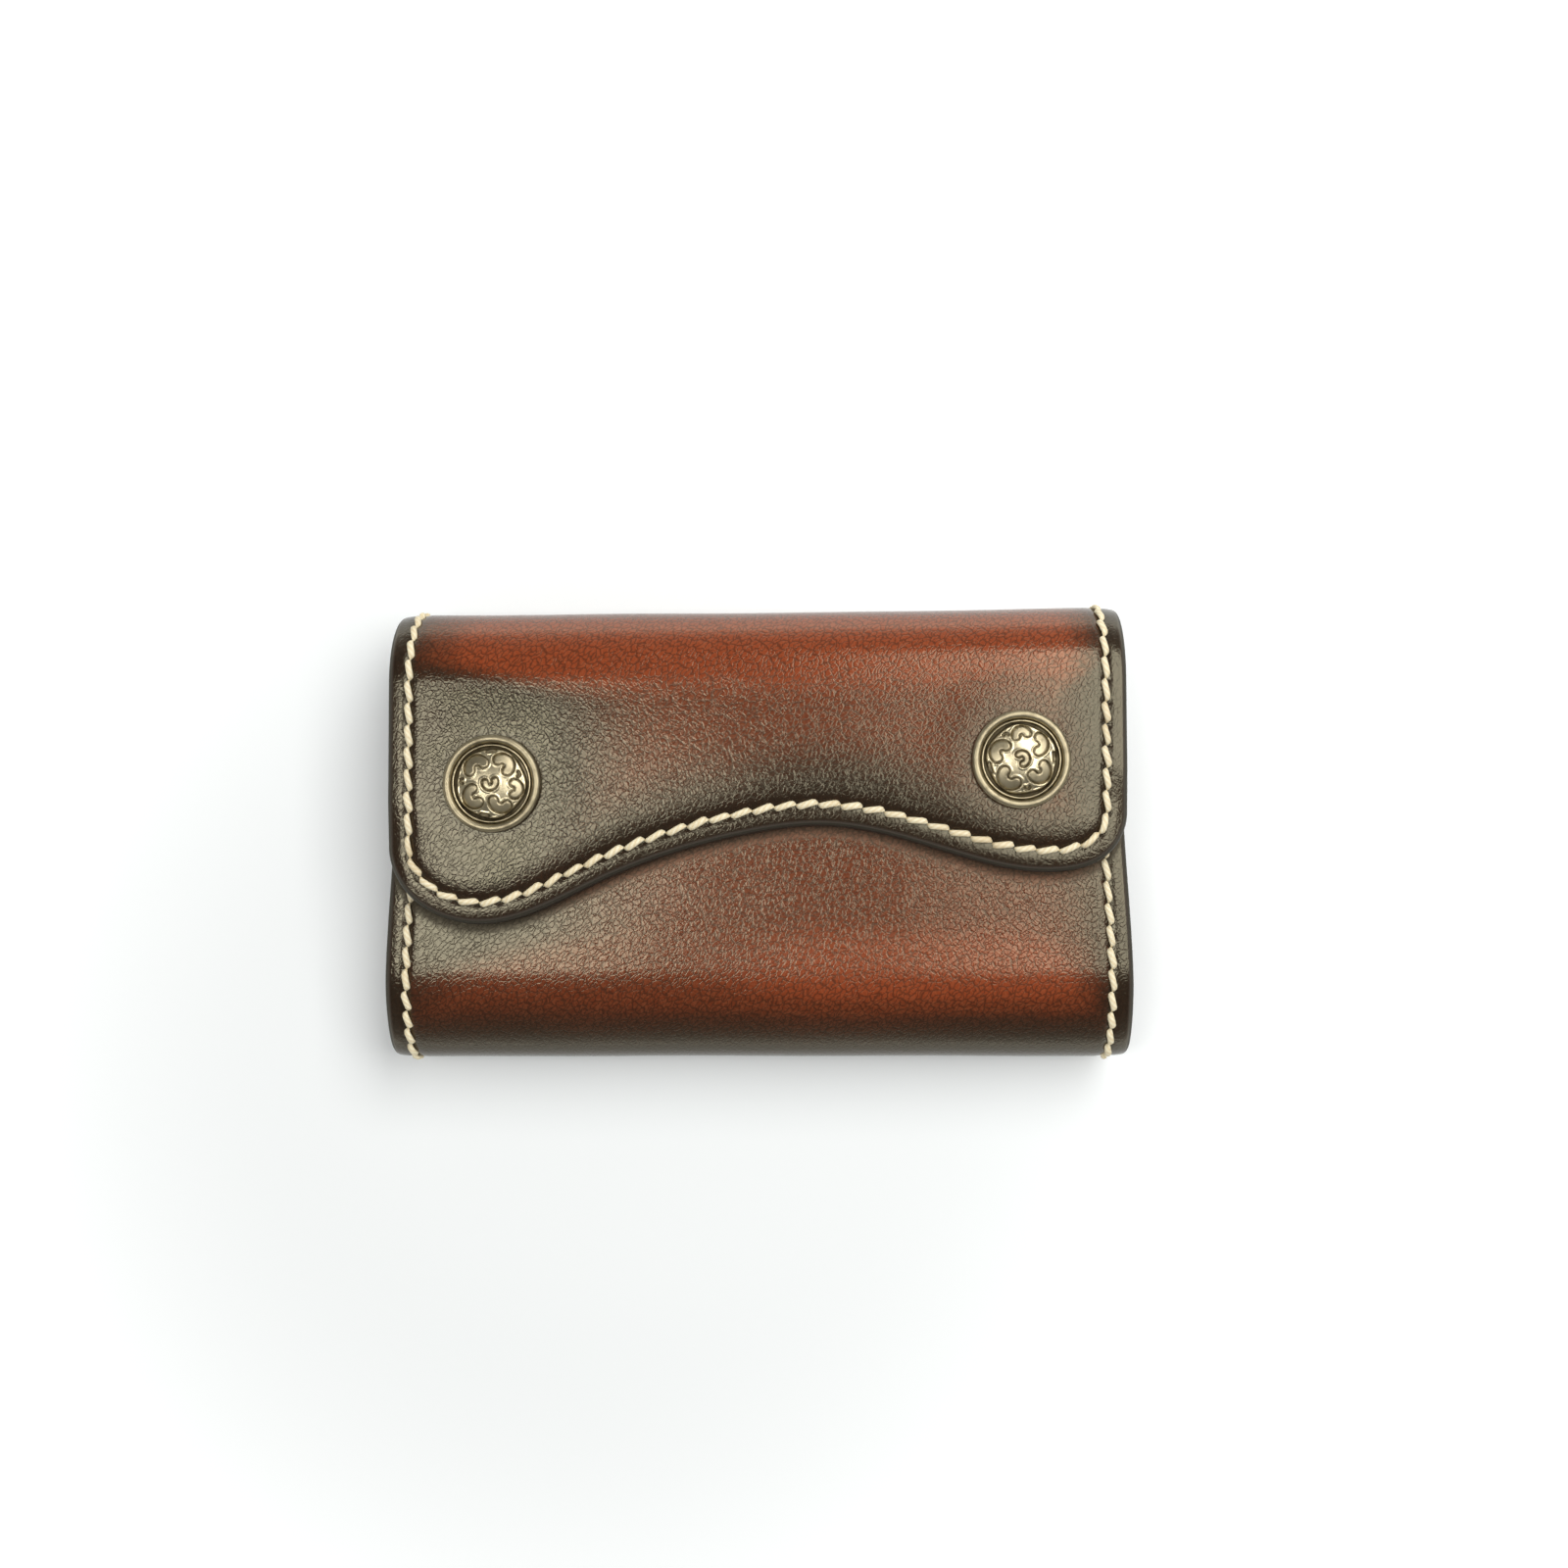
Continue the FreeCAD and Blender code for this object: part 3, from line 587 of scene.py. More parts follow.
# %% Rows and columns of the grids
rounded_steps = [0, 0.03, 0.1, 0.2, 0.34, 0.55, 0.85]
groove_steps = np.arange(1.15, 6.0, 0.32)
inner_steps = [6.6, 7.6, 9.0]
edge_steps = np.concatenate([rounded_steps, groove_steps, inner_steps])
middle_columns, flap_rows, row_step, seam_step = 52, 40, 0.55, 0.05


def across_steps():
    inner = np.linspace(edge_steps[-1] - half_width, half_width - edge_steps[-1], middle_columns)
    return np.concatenate([edge_steps[:-1] - half_width, inner, half_width - edge_steps[-2::-1]])


def along_steps(start, end):
    """Rows from start to end, with one close to each end so that neighbouring sheets shade alike."""
    rows = np.linspace(start, end, round((end - start) / row_step) + 1)
    return np.concatenate([rows[:1], [start + seam_step], rows[1:-1], [end - seam_step], rows[-1:]])


upper_seam = (upper_start + flap_start) / 2
back_seam = back_start + 6


def even_pattern(start, end, free_edge=False):
    """Points of a sheet with straight sides, with fine rows at its start if that is a cut edge."""
    rows = along_steps(start, end)
    if free_edge:
        rows = np.concatenate([edge_steps, rows[rows > edge_steps[-1] + 0.3]])
    return np.stack(np.meshgrid(across_steps(), rows[::-1]), -1)


def flap_pattern():
    """Points of the flap, with columns that end on its S-shaped edge."""
    fold = along_steps(upper_seam, flap_start)
    flat = np.linspace(0, 1, flap_rows)[1:]
    pattern = []
    for x, end in flap_edge:
        last = end - edge_steps[-1]
        column = np.concatenate([fold, flap_start + flat * (last - flap_start), end - edge_steps[-2::-1]])
        pattern.append(np.stack([np.full(len(column), x), column], -1)[::-1])
    return np.stack(pattern, 1)


patterns = {
    "flap": flap_pattern(),
    "back": even_pattern(back_seam, upper_seam),
    "lower_bend": even_pattern(lower_seam, back_seam),
    "panel": even_pattern(0, lower_seam, free_edge=True),
}
print({name: pattern.shape[:2] for name, pattern in patterns.items()})


# %% Lay, thicken and fold a sheet
pattern_scale = 100.0
leather_angle = math.radians(40)


def solid_sheet(name, pattern, thickness):
    """A thickened grid with the pattern's rows and columns, and the pattern's points in the grid's order."""
    deselect()
    rows, columns = pattern.shape[:2]
    bpy.ops.mesh.primitive_grid_add(x_subdivisions=columns - 1, y_subdivisions=rows - 1, size=1)
    sheet = bpy.context.object
    sheet.name = sheet.data.name = name
    flat = np.array([vertex.co for vertex in sheet.data.vertices])
    order = np.rint((flat[:, :2] + 0.5) * (columns - 1, rows - 1)).astype(int)
    wall = sheet.modifiers.new("thickness", "SOLIDIFY")
    wall.thickness, wall.offset = thickness * MM, -1
    bpy.ops.object.modifier_apply(modifier=wall.name)
    return sheet, pattern[order[:, 1], order[:, 0]]


def pick(piece):
    """Makes a piece the one that operators act on."""
    deselect()
    piece.select_set(True)
    bpy.context.view_layer.objects.active = piece


def lay(sheet, points, outer_depth, inner_depth, **marks):
    """Folds both faces of a sheet into place and keeps the pattern and the marks for its finish."""
    mesh = sheet.data
    both = np.vstack([folded(*points.T, outer_depth), folded(*points.T, inner_depth)])
    mesh.vertices.foreach_set("co", both.astype(np.float32).ravel())
    loops = np.zeros(len(mesh.loops), int)
    mesh.loops.foreach_get("vertex_index", loops)
    mesh.uv_layers[0].name = "pattern"
    flat = (points / pattern_scale)[loops % len(points)]
    mesh.uv_layers["pattern"].data.foreach_set("uv", flat.astype(np.float32).ravel())
    for name, values in marks.items():
        mark = mesh.attributes.new(name, "FLOAT", "POINT")
        mark.data.foreach_set("value", np.concatenate([values, values]).astype(np.float32))
    mesh.update()
    pick(sheet)
    bpy.ops.object.shade_smooth_by_angle(angle=leather_angle)
    return sheet


def outer_sheet(name, pattern):
    """One stretch of the outer leather, with the marks that its finish needs."""
    sheet, points = solid_sheet(name, pattern, outer_thickness)
    distance, slow = edge_distance(points), sway(points)
    depth, hole = relief(points, distance)
    marks = {"edge": distance, "hole": hole, "shade": dye_and_painted_shade(points, distance), "matt": covered(points)}
    return lay(sheet, points, slow + depth, slow + outer_thickness, **marks)


leather = {name: outer_sheet(name + "_leather", pattern) for name, pattern in patterns.items()}
print({piece.name: len(piece.data.polygons) for piece in leather.values()})

# %% [markdown]
# ## Lining
# A thinner leather is glued behind the strip and stitched with it. It shows at the edges and when the case is open.
# It is laid in the same way, from the outer leather's inside down.
# It has less relief, so every second row and column of the same patterns is enough.
# Its inner face is rounded at the edges and pressed in a little by the thread.

# %% Lay the lining
lining_press = 0.5


def thinned(pattern):
    """Every second row and column, with both ends kept."""
    rows, columns = [np.unique(np.append(np.arange(0, count, 2), count - 1)) for count in pattern.shape[:2]]
    return pattern[np.ix_(rows, columns)]


def lining_sheet(name, pattern):
    """One stretch of the lining, from the outer leather's inside down."""
    sheet, points = solid_sheet(name, thinned(pattern), lining_thickness)
    distance, slow = edge_distance(points), sway(points)
    depth, hole = relief(points, distance)
    thread_sink = sunk(points[:, 1]) * np.exp(-(line_distance(points, thread_line) / groove_width) ** 2)
    pressed = np.clip(np.clip(depth, 0, lining_press) - thread_sink, 0, lining_press)
    inner = slow + leather_thickness - pressed
    return lay(sheet, points, slow + outer_thickness, inner, edge=distance, hole=hole)


lining = {name: lining_sheet(name + "_lining", pattern) for name, pattern in patterns.items()}
print({piece.name: len(piece.data.polygons) for piece in lining.values()})

# %% [markdown]
# ## Leather finish
# The leather is red-brown, almost black where the dye is rubbed on, and brighter near the folds.
# Its grain is a skin of small pebbles with painted shade in the crease round each,
# crossed by fine wavy ridges whose crests are smoother and carry a painted highlight. The pebbles come from a cell
# texture, drawn out one way and drifted by noise, because plain cells look like paving.
# A painted highlight runs along the rounded cut edges, and painted shade darkens each stitch hole.
# The pattern's own coordinates carry the grain round the folds, and the rubbed and shaded zones are kept on the sheet
# as marks.
# Hands polish the leather, but not under the flap, so it stays matt there and on its cut edges.

# %% Grain of leather
ridge_stretch, ridge_width = 1.8, 0.13
pebble_stretch, pebble_drift, crease_width = 2.1, 1.6, 0.22


def pattern_place(finish):
    """Place on the cutting pattern, in mm."""
    uv = finish.node("UVMap", {"uv_map": "pattern"})
    return finish.node("VectorMath", {"operation": "SCALE"}, {0: uv.outputs[0], "Scale": pattern_scale}).outputs[0]


def clouds(finish, place, size, detail):
    """Soft noise with patches of about this size in mm."""
    return finish.noise(place, 1 / size, detail, "2D")


def drawn_out(finish, place, turn, share):
    """The place for a pattern that is turned and longer one way."""
    sockets = {"Vector": place, "Rotation": (0, 0, turn), "Scale": (share, 1, 1)}
    return finish.node("Mapping", {"vector_type": "TEXTURE"}, sockets).outputs[0]


def wrinkles(finish, place, spacing, turn):
    """Short wavy wrinkles this far apart in mm: 1 on a crest, 0 between them."""
    waves = clouds(finish, drawn_out(finish, place, turn, ridge_stretch), spacing, detail=0.5)
    return 1 - abs(waves - 0.5).rise(0.0, ridge_width)


def pebbles(finish, place, size, turn):
    """Pebbles this far apart in mm: 1 on a pebble, 0 in the crease round it."""
    drift = finish.node("TexNoise", {"noise_dimensions": "2D"}, {"Vector": place, "Scale": 0.5 / size})
    sockets = {0: drift.outputs["Color"], 1: (pebble_drift * size, pebble_drift * size, 0), 2: place}
    drifted = finish.node("VectorMath", {"operation": "MULTIPLY_ADD"}, sockets).outputs[0]
    cells = {"voronoi_dimensions": "2D", "feature": "DISTANCE_TO_EDGE"}
    sockets = {"Vector": drawn_out(finish, drifted, turn, pebble_stretch), "Scale": 1 / size}
    return finish.value("TexVoronoi", cells, sockets).rise(0.0, crease_width)


def mark(finish, name):
    """A mark that is kept on the piece's points."""
    made = finish.node("Attribute", {"attribute_name": name})
    return Value(finish, made.outputs["Fac"])


dyed = new_finish("dyed_leather")
place = pattern_place(dyed)
ridges = wrinkles(dyed, place, spacing=0.70, turn=0.7)
creases = 1 - pebbles(dyed, place, size=0.64, turn=2.3)
patches = clouds(dyed, place, size=30.0, detail=2.0)
streaks = clouds(dyed, place, size=5.0, detail=3.0)
print("the grain takes", len(dyed.tree.nodes), "nodes")

# %% Colours of the dyed leather
open_dye, fold_band_red, dark_dye = (0.140, 0.027, 0.008, 1), (0.255, 0.046, 0.013, 1), (0.014, 0.010, 0.006, 1)
# painted highlight on the grain's crests, and painted shade in its creases and in the stitch holes
crest_highlight, crease_shade, hole_shade = (0.50, 0.18, 0.08, 1), (0.010, 0.003, 0.001, 1), (0.004, 0.003, 0.002, 1)
# painted highlight: the lighter line along the rounded cut edge
cut_dye, highlight_colour = (0.006, 0.0045, 0.004, 1), (0.110, 0.095, 0.080, 1)

edge = mark(dyed, "edge")
shade = mark(dyed, "shade") + (patches - 0.5) * 0.25 + (streaks - 0.5) * 0.12
darkness = shade.rise(0.0, 1.0)
rubbed = dyed.colour(open_dye, fold_band_red, (1 - shade).rise(1.0, 1.8))
shaded = dyed.colour(rubbed, dark_dye, darkness * 0.95)
# painted highlight on the grain's crests
crested = dyed.colour(shaded, crest_highlight, ridges * (0.10 - darkness * 0.085))
# painted shade in the grain's creases
crease_shaded = dyed.colour(crested, crease_shade, creases * 0.6)
cut = dyed.colour(cut_dye, crease_shaded, edge.rise(0.3, 0.9))
# painted highlight along the rounded cut edge
highlight_line = edge.rise(0.35, 0.60) * (1 - edge.rise(0.65, 1.00))
highlighted = dyed.colour(cut, highlight_colour, highlight_line * 0.35)
# painted shade in the stitch holes
pricked = dyed.colour(highlighted, hole_shade, mark(dyed, "hole") * 0.9)
dyed.surface(Base_Color=pricked)
print("the colours bring it to", len(dyed.tree.nodes), "nodes")

# %% Height and polish of the dyed leather
grain_height = 0.021 * MM
polished, matt = 0.17, 0.4

grain = edge.rise(0.5, 1.6)
height = (ridges * 0.35 - creases * 0.6) * (streaks * 0.8 + 0.6) * grain
normal = dyed.bump(height, grain_height)
untouched = mark(dyed, "matt").larger(1 - edge.rise(0.2, 0.9))
polish = polished + (creases * 0.08 - ridges * 0.03) * grain + matt * untouched
dyed.surface(Roughness=polish, Normal=normal)
dyed.surface(IOR=1.6, Specular_Tint=(1.0, 0.92, 0.65, 1))
print(dyed.owner.name, len(dyed.tree.nodes), "nodes")

# %% Lining leather
dark_brown, mid_brown, crest_brown = (0.050, 0.026, 0.015, 1), (0.095, 0.052, 0.030, 1), (0.120, 0.070, 0.042, 1)
cut_brown = (0.010, 0.0075, 0.006, 1)
lining_grain_height = 0.05 * MM

plain = new_finish("plain_lining")
place = pattern_place(plain)
grain = wrinkles(plain, place, spacing=0.6, turn=0.3)
patches = clouds(plain, place, size=18.0, detail=3.0)
edge = mark(plain, "edge")
brown = plain.colour(dark_brown, mid_brown, patches)
crested = plain.colour(brown, crest_brown, grain * 0.4)
cut = plain.colour(cut_brown, crested, edge.rise(0.15, 1.4))
# painted shade in the stitch holes
pricked = plain.colour(cut, hole_shade, mark(plain, "hole") * 0.9)
normal = plain.bump(grain, lining_grain_height, strength=0.6)
plain.surface(Base_Color=pricked, Roughness=0.68 - grain * 0.08, Normal=normal)

for piece in leather.values():
    piece.data.materials.append(dyed.owner)
for piece in lining.values():
    piece.data.materials.append(plain.owner)
print(plain.owner.name, len(plain.tree.nodes), "nodes")

# %% [markdown]
# ## Saddle stitching
# Each stitch is a short length of thick waxed thread that comes up from one hole and dives into the next.
# The pricked holes are slanted, so every stitch lies askew and the row looks like a rope.
# One stitch is modelled from a cylinder, cut into rings and shaped. Copies of it then follow the thread's loop.

# %% Model one stitch
thread_sides = 8
stitch_rings = (-0.43, -0.30, 0.0, 0.30, 0.43)
thread_half_width, thread_half_height = 0.47, 0.40

deselect()
bpy.ops.mesh.primitive_cylinder_add(vertices=thread_sides, radius=1, depth=1)
one_stitch = bpy.context.object
bpy.ops.object.mode_set(mode="EDIT")
for height in stitch_rings:
    bpy.ops.mesh.select_all(action="SELECT")
    bpy.ops.mesh.bisect(plane_co=(0, 0, height), plane_no=(0, 0, 1))
bpy.ops.object.mode_set(mode="OBJECT")
stitch_points = np.array([vertex.co for vertex in one_stitch.data.vertices])
stitch_faces = [list(face.vertices) for face in one_stitch.data.polygons]
stitch_uv = np.array([corner.uv for corner in one_stitch.data.uv_layers[0].data])
bpy.data.objects.remove(one_stitch)

face_uv, passed = [], 0
for face in stitch_faces:
    face_uv.append(stitch_uv[passed:passed + len(face)].tolist())
    passed += len(face)
print("one stitch has", len(stitch_faces), "faces")

# %% Lay single stitches
stitch_length, stitch_skew, skew_bow = 3.30, 0.34, 2.4
thread_lift, inside_press = 0.12, 0.1
end_taper, end_dive, end_power = 0.30, 0.80, 5
size_jitter, skew_jitter, lift_jitter, length_jitter = 0.04, 0.15, 0.02, 0.02
rng = np.random.default_rng(7)
stitch_jitter = rng.normal(size=(2, stitch_count, 4))


def stitches(numbers, inside):
    """Points of the stitches with these numbers, on the outside or the inside of the leather."""
    jitter = stitch_jitter[int(inside)][numbers][:, :, None]
    share = stitch_points[:, 2]
    ends = np.abs(2 * share) ** end_power
    size = (1 - end_taper * ends) * (1 + size_jitter * jitter[:, 0])
    skew = (-1 if inside else 1) * stitch_skew * (1 + skew_jitter * jitter[:, 1])
    thick = stitch_points[:, 0] * size * thread_half_width
    side = skew * np.sin(skew_bow * share) / math.sin(skew_bow / 2) + thick
    lift = thread_lift + lift_jitter * jitter[:, 2] - end_dive * ends
    rise = lift + stitch_points[:, 1] * size * thread_half_height
    length = stitch_length * (1 + length_jitter * jitter[:, 3])
    line, left = on_thread((numbers[:, None] + 0.5) * stitch_step + share * length - 0.5 * np.sign(skew) * thick)
    flat = (line + left * side[..., None]).reshape(-1, 2)
    if inside:
        depth = leather_thickness - inside_press + rise.ravel()
    else:
        depth = sunk(flat[:, 1]) - rise.ravel()
    return folded(*flat.T, depth + sway(flat))


print("the first stitch spans", np.ptp(stitches(np.array([0]), False), axis=0).round(4).tolist(), "m")


# %% Join the stitches into rows
def stitch_row(name, start, end):
    """All stitches between two places along the strip, on both faces, as one piece."""
    middles = on_thread((np.arange(stitch_count) + 0.5) * stitch_step)[0][:, 1]
    numbers = np.flatnonzero((middles >= start) & (middles < end))
    points = np.vstack([stitches(numbers, inside) for inside in (False, True)])
    copies = 2 * len(numbers)
    faces = [
        [corner + copy * len(stitch_points) for corner in (face[::-1] if copy < len(numbers) else face)]
        for copy in range(copies) for face in stitch_faces
    ]
    mesh = bpy.data.meshes.new(name)
    mesh.from_pydata(points.tolist(), [], faces)
    wound = mesh.uv_layers.new(name="wound")
    uv = [pair for corners in face_uv for pair in corners]
    flipped = [pair for corners in face_uv for pair in corners[::-1]]
    all_uv = np.array(flipped * len(numbers) + uv * len(numbers))
    wound.data.foreach_set("uv", all_uv.astype(np.float32).ravel())
    row = bpy.data.objects.new(name, mesh)
    bpy.context.scene.collection.objects.link(row)
    pick(row)
    bpy.ops.object.mode_set(mode="EDIT")
    bpy.ops.mesh.select_all(action="SELECT")
    bpy.ops.mesh.normals_make_consistent(inside=False)
    bpy.ops.object.mode_set(mode="OBJECT")
    bpy.ops.object.shade_smooth()
    return row


thread_spans = {
    "flap": (upper_seam, math.inf), "back": (back_seam, upper_seam),
    "lower_bend": (lower_seam, back_seam), "panel": (0, lower_seam),
}
thread = {name: stitch_row(name + "_stitches", *span) for name, span in thread_spans.items()}
print({piece.name: len(piece.data.polygons) for piece in thread.values()})

# %% [markdown]
# ## Thread finish
# The thread is cream linen, twisted from a few strands and drawn through wax.
# The twist shows as slanting ridges, so a wave runs round and along each stitch.
# Wax leaves it a little shiny, and handling soils it in patches. The valleys between the strands are painted darker
# as shade.

# %% Waxed thread
strand_shade_cream, pale_cream, soiled = (0.82, 0.68, 0.42, 1), (0.95, 0.86, 0.62, 1), (0.66, 0.50, 0.27, 1)
strands, twists = 4, 6
strand_height = 0.04 * MM

waxed = new_finish("waxed_thread")
wound = waxed.node("UVMap", {"uv_map": "wound"})
parts = waxed.node("SeparateXYZ", None, {0: wound.outputs[0]})
round_it, along_it = Value(waxed, parts.outputs[0]), Value(waxed, parts.outputs[1])
turn = (round_it * strands + along_it * twists) * math.tau
twist = Value(waxed, waxed.node("Math", {"operation": "SINE"}, {0: turn}).outputs[0]) * 0.5 + 0.5
where = waxed.node("TexCoord").outputs["Object"]
soil = waxed.noise(where, scale=160.0, detail=3.0)
fibre = waxed.noise(where, scale=5200.0, detail=2.0)
# painted shade and highlight of the twist: darker in the valleys between the strands, paler on the crests
cream = waxed.colour(strand_shade_cream, pale_cream, twist)
worn = waxed.colour(cream, soiled, soil.rise(0.50, 0.75) * 0.5)
normal = waxed.bump(twist + fibre * 0.6, strand_height, strength=0.35)
waxed.surface(Base_Color=worn, Roughness=0.58 + fibre * 0.1, Normal=normal)
for piece in thread.values():
    piece.data.materials.append(waxed.owner)
print(waxed.owner.name, len(waxed.tree.nodes), "nodes")

# %% [markdown]
# ## Snap caps
# Each snap has a cast cap: a round bead, a dark ring, and a low dome carved with a scroll ornament.
# The round shape is turned first, as on a lathe: a circle is extruded ring by ring along a profile.
# The ornament is then chased into the dome by moving its vertices: bean-shaped pockets with a raised line round each.

# %% Turn a round piece
def turned(name, profile, steps):
    """A closed round piece: a circle extruded along a profile of radius and height, merged at its top."""
    deselect()
    (radius, height), *others = profile
    bpy.ops.mesh.primitive_circle_add(vertices=steps, radius=radius, fill_type="NGON", location=(0, 0, 0))
    piece = bpy.context.object
    piece.name = piece.data.name = name
    bpy.ops.object.mode_set(mode="EDIT")
    bpy.ops.mesh.select_all(action="SELECT")
    bpy.ops.transform.translate(value=(0, 0, height))
    bpy.ops.mesh.flip_normals()
    bpy.ops.mesh.select_mode(type="EDGE")
    bpy.ops.mesh.region_to_loop()
    for next_radius, next_height in others:
        bpy.ops.mesh.extrude_edges_move(TRANSFORM_OT_translate={"value": (0, 0, next_height - height)})
        scale = next_radius / radius
        bpy.ops.transform.resize(value=(scale, scale, 1), center_override=(0, 0, next_height))
        radius, height = next_radius, next_height
    bpy.ops.mesh.merge(type="CENTER")
    bpy.ops.mesh.select_all(action="SELECT")
    bpy.ops.mesh.normals_make_consistent(inside=False)
    bpy.ops.object.mode_set(mode="OBJECT")
    return piece


bead_middle, bead_half_width, bead_foot, bead_height, bead_power = 6.84, 0.64, 0.7, 0.6, 0.9
ring_middle, ring_half_width, ring_foot, ring_height = 5.86, 0.14, 0.74, 0.2
cap_foot, groove_floor = [(7.2, -0.15), (7.44, 0.1)], [(6.14, 0.62), (6.06, 0.6)]
blank_height, blank_radius, blank_hole, blank_rings = 0.8, 5.66, 0.06, 58

bead_turn = np.radians(np.linspace(-15, 172, 15))
bead_across, bead_up = [np.sign(wave) * np.abs(wave) ** bead_power for wave in (np.cos(bead_turn), np.sin(bead_turn))]
bead = np.stack([bead_middle + bead_half_width * bead_across, bead_foot + bead_height * bead_up], -1).tolist()
ring_turn = np.radians(np.linspace(0, 180, 6))
ring = [(ring_middle + ring_half_width * math.cos(t), ring_foot + ring_height * math.sin(t)) for t in ring_turn]
blank = [(radius, blank_height) for radius in np.linspace(blank_radius, blank_hole, blank_rings)]
cap_profile = [*cap_foot, *bead, *groove_floor, *ring, *blank]
print("the cap's profile has", len(cap_profile), "rings")

# %% Chase the scroll ornament
dome_radius, dome_foot, dome_top, dome_sink = 5.7, 1.0, 2.3, 0.10
rim_radius, rim_lobe, rim_lobes, rim_turn = 5.22, 0.13, 5, 0.6
rim_drop, rim_inside, rim_outside = 0.45, 0.05, 0.10
pocket_depth, pocket_wall, pocket_tarnish = 0.20, (-0.12, 0.02), 0.40
groove_in_pocket, groove_wall, groove_tarnish = 0.16, (0.12, 0.42), 0.60
raised_line, rim_line, pocket_line = 0.09, (-0.16, 0.11), (0.14, 0.10)
dome_sphere = (dome_radius ** 2 + (dome_top - dome_foot) ** 2) / (2 * (dome_top - dome_foot))

# Middle, arc radius and half width as shares of the dome's radius, then start and end of the arc in degrees.
scroll_shares = (
    (-0.36, 0.40, 0.22, 0.165, 40, 200), (0.30, 0.46, 0.20, 0.160, -40, 120),
    (0.60, -0.16, 0.16, 0.135, -80, 80), (0.28, -0.47, 0.20, 0.155, 180, 320),
    (-0.42, -0.34, 0.20, 0.160, 110, 300), (0.0, 0.02, 0.14, 0.110, 180, 380),
    (-0.74, 0.06, 0.07, 0.045, 95, 265), (0.70, 0.24, 0.07, 0.045, -70, 60),
    (0.0, 0.0, 0.86, 0.045, 82, 98), (0.0, 0.0, 0.86, 0.045, 252, 266),
)


def pocket_distance(points, centre_x, centre_y, arc_radius, half, start, end):
    """Distance outside a bean-shaped pocket, in mm, negative inside it."""
    from_centre = points - np.array([centre_x, centre_y]) * dome_radius
    turn = np.degrees(np.arctan2(from_centre[:, 1], from_centre[:, 0]))
    middle, spread = (start + end) / 2, (end - start) / 2
    off = (turn - middle + 180) % 360 - 180
    nearest = np.radians(middle + np.clip(off, -spread, spread))
    on_arc = arc_radius * dome_radius * np.stack([np.cos(nearest), np.sin(nearest)], -1)
    return np.linalg.norm(from_centre - on_arc, axis=1) - half * dome_radius


def ridge(distance, place, width):
    """A soft line at a place outside an edge: 1 on it, 0 away from it."""
    return np.exp(-((distance - place) / width) ** 2)


def ornament(points):
    """Height of the carved dome at points round its middle, and how dark each stays when the dome is polished."""
    radius = np.linalg.norm(points, axis=1)
    lobes = rim_radius + rim_lobe * np.cos(rim_lobes * np.arctan2(points[:, 1], points[:, 0]) + rim_turn)
    outside = smooth_step(radius, lobes - rim_inside, lobes + rim_outside)
    height = dome_top - dome_sphere + np.sqrt(dome_sphere ** 2 - radius ** 2) - dome_sink - rim_drop * outside
    tarnish, line = outside, ridge(radius - lobes, *rim_line)
    for shares in scroll_shares:
        distance = pocket_distance(points, *shares)
        inside = fade(distance, *pocket_wall)
        groove = inside * fade(-distance, *groove_wall)
        height = height - pocket_depth * inside - groove_in_pocket * groove
        tarnish = np.maximum(tarnish, pocket_tarnish * inside + groove_tarnish * groove)
        line = np.maximum(line, ridge(distance, *pocket_line))
    return height + raised_line * line * (1 - tarnish), tarnish


middle_height, middle_tarnish = ornament(np.zeros((1, 2)))
print("the dome's middle is", round(middle_height[0], 2), "mm high")

# %% Place both caps
cap_steps, cap_angle = 200, math.radians(60)
cap_turns = {"left": 0.0, "right": math.radians(105)}
carved_radius, carved_floor = 5.68, 0.75
dark_radius, dark_end, dark_heights = 5.6, 6.3, (0.72, 0.95)
bead_patina, bead_start = 0.55, (6.2, 6.4)


def snap_cap(side, turn):
    """A turned cap with the ornament chased into its dome, at its place on the flap."""
    cap = turned(side + "_cap", cap_profile, cap_steps)
    points = np.array([vertex.co for vertex in cap.data.vertices])
    radius = np.linalg.norm(points[:, :2], axis=1)
    carved = (radius < carved_radius) & (points[:, 2] > carved_floor)
    spin = np.array([[math.cos(turn), -math.sin(turn)], [math.sin(turn), math.cos(turn)]])
    hollow = smooth_step(radius, dark_radius, carved_radius) * (radius < dark_end)
    hollow = hollow * fade(points[:, 2], *dark_heights)
    hollow = np.maximum(hollow, bead_patina * smooth_step(radius, *bead_start))
    points[carved, 2], hollow[carved] = ornament(points[carved, :2] @ spin)
    middle = caps[side]
    points += (middle.x, middle.y, flap_top)
    cap.data.vertices.foreach_set("co", (points * MM).astype(np.float32).ravel())
    patina = cap.data.attributes.new("hollow", "FLOAT", "POINT")
    patina.data.foreach_set("value", hollow.astype(np.float32))
    cap.data.update()
    pick(cap)
    bpy.ops.object.shade_smooth_by_angle(angle=cap_angle)
    return cap


cap_pieces = {side: snap_cap(side, turn) for side, turn in cap_turns.items()}
print({piece.name: len(piece.data.polygons) for piece in cap_pieces.values()})

# %% [markdown]
# ## Metal finishes
# The caps are antique brass: the metal is darkened all over and then polished, so the hollows stay dark.
# The snap's hidden parts and the key rack are plated the same tone without that patina,
# and the springs are bare steel. One function makes these metals, from a colour, a darker tarnish and fine scratches.

# %% Antique brass
bright_brass, dull_brass, dark_patina = (0.66, 0.57, 0.37, 1), (0.46, 0.39, 0.25, 1), (0.080, 0.062, 0.034, 1)
casting_height = 0.02 * MM

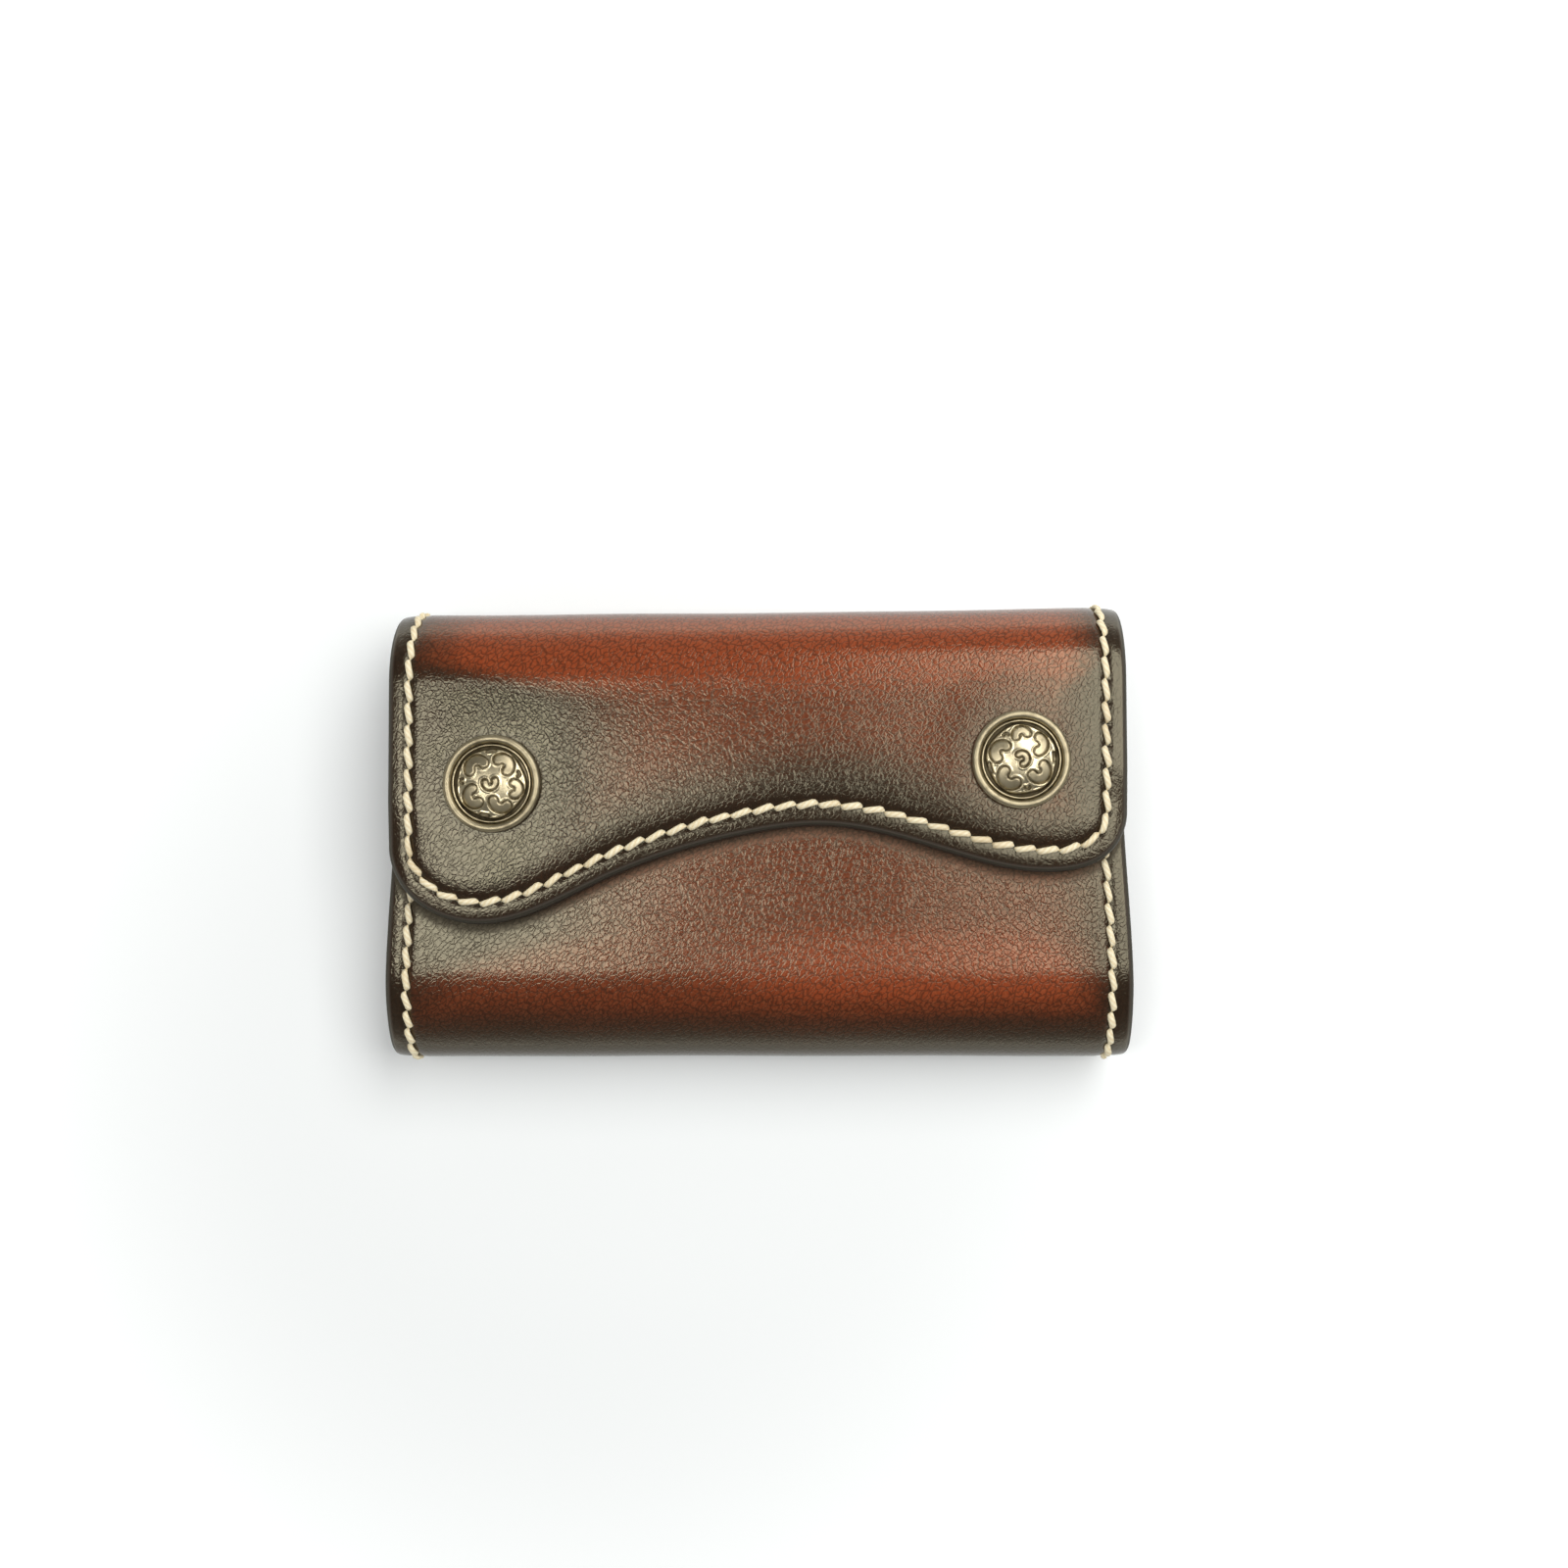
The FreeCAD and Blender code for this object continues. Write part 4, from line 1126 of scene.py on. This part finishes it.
aged = new_finish("antique_brass")
where = aged.node("TexCoord").outputs["Object"]
spots = aged.noise(where, scale=700.0, detail=4.0)
fine = aged.noise(where, scale=6000.0, detail=2.0)
dark = (mark(aged, "hollow") * 0.85 + spots.rise(0.45, 0.8) * 0.25).smaller(1.0)
brass = aged.colour(bright_brass, dull_brass, spots)
patina = aged.colour(brass, dark_patina, dark)
normal = aged.bump(fine, casting_height, strength=0.25)
aged.surface(Base_Color=patina, Metallic=1.0, Roughness=0.26 + dark * 0.24 + fine * 0.06, Normal=normal)
for piece in cap_pieces.values():
    piece.data.materials.append(aged.owner)
print(aged.owner.name, len(aged.tree.nodes), "nodes")

# %% Plated metal and spring steel
scratch_depth, scratch_scale = 0.01 * MM, (300.0, 5000.0, 5000.0)


def metal(name, bright, tarnish, roughness):
    """A metal with soft tarnish and fine scratches along the case."""
    finish = new_finish(name)
    where = finish.node("TexCoord").outputs["Object"]
    cloud = finish.noise(where, scale=260.0, detail=4.0)
    stretched = finish.node("Mapping", None, {"Vector": where, "Scale": scratch_scale}).outputs[0]
    scratch = finish.noise(stretched, scale=1.0, detail=2.0)
    colour = finish.colour(bright, tarnish, cloud.rise(0.35, 0.75))
    normal = finish.bump(scratch, scratch_depth, strength=0.2)
    worn = scratch * 0.14 + cloud * 0.1 + roughness
    return finish.surface(Base_Color=colour, Metallic=1.0, Roughness=worn, Normal=normal)


snap_metal = metal("snap_brass", (0.58, 0.47, 0.27, 1), (0.36, 0.28, 0.15, 1), 0.20)
rack_metal = metal("plated_rack", (0.62, 0.55, 0.38, 1), (0.44, 0.38, 0.25, 1), 0.18)
steel = metal("spring_steel", (0.62, 0.61, 0.59, 1), (0.46, 0.45, 0.43, 1), 0.20)
metal_of = {"antique_brass": snap_metal, "plated_steel": rack_metal, "spring_steel": steel}
slot_of = {row["node"]: row["material_slot"] for row in frame["record"]["subparts"]}
for name, node in nodes.items():
    if slot_of[name] in metal_of:
        node.data.materials.clear()
        node.data.materials.append(metal_of[slot_of[name]])
print("metal on", sum(slot in metal_of for slot in slot_of.values()), "nodes")

# %% [markdown]
# ## Joining the frame
# Each sheet has one hinge line, between the two bodies that this hinge joins.
# Its start and end, a little inside the quarter turn, are worked out, but the sheet is neither bent nor blended:
# it is fixed where it lies, and the frame's own solids that it stands for are hidden.
# The caps are attached to the flap's body.

# %% Hinge lines, hidden solids and attached caps
seams_y = {"upper": upper_y + upper_radius, "lower": lower_y - lower_radius}
bends = {
    "flap": ("upper_fold", "flap", (seams_y["upper"], upper_radius), (upper_y, flap_top)),
    "back": ("back", "upper_fold", (upper_y, 0), (seams_y["upper"], upper_radius)),
    "lower_bend": ("back", "lower_fold", (lower_y, 0), (seams_y["lower"], lower_radius)),
    "panel": ("lower_fold", "lower_panel", (seams_y["lower"], lower_radius), (lower_y, panel_top)),
}
bend_inset = 2.3


def bend(piece, name, kind):
    """Works out a piece's hinge line, fixes the piece where it lies and hides the frame's own solids for it."""
    first, second, start, end = bends[name]
    start, end = Vector((0, *start)), Vector((0, *end))
    inset = (end - start).normalized() * bend_inset
    (start + inset) * MM
    (end - inset) * MM
    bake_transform(piece)
    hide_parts(f"{kind}_{first}", f"{kind}_{second}")


for name in bends:
    bend(leather[name], name, "outer")
    bend(lining[name], name, "lining")
    bend(thread[name], name, "stitching")
for side, cap in cap_pieces.items():
    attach(cap, "flap")
    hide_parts(side + "_snap_cap")
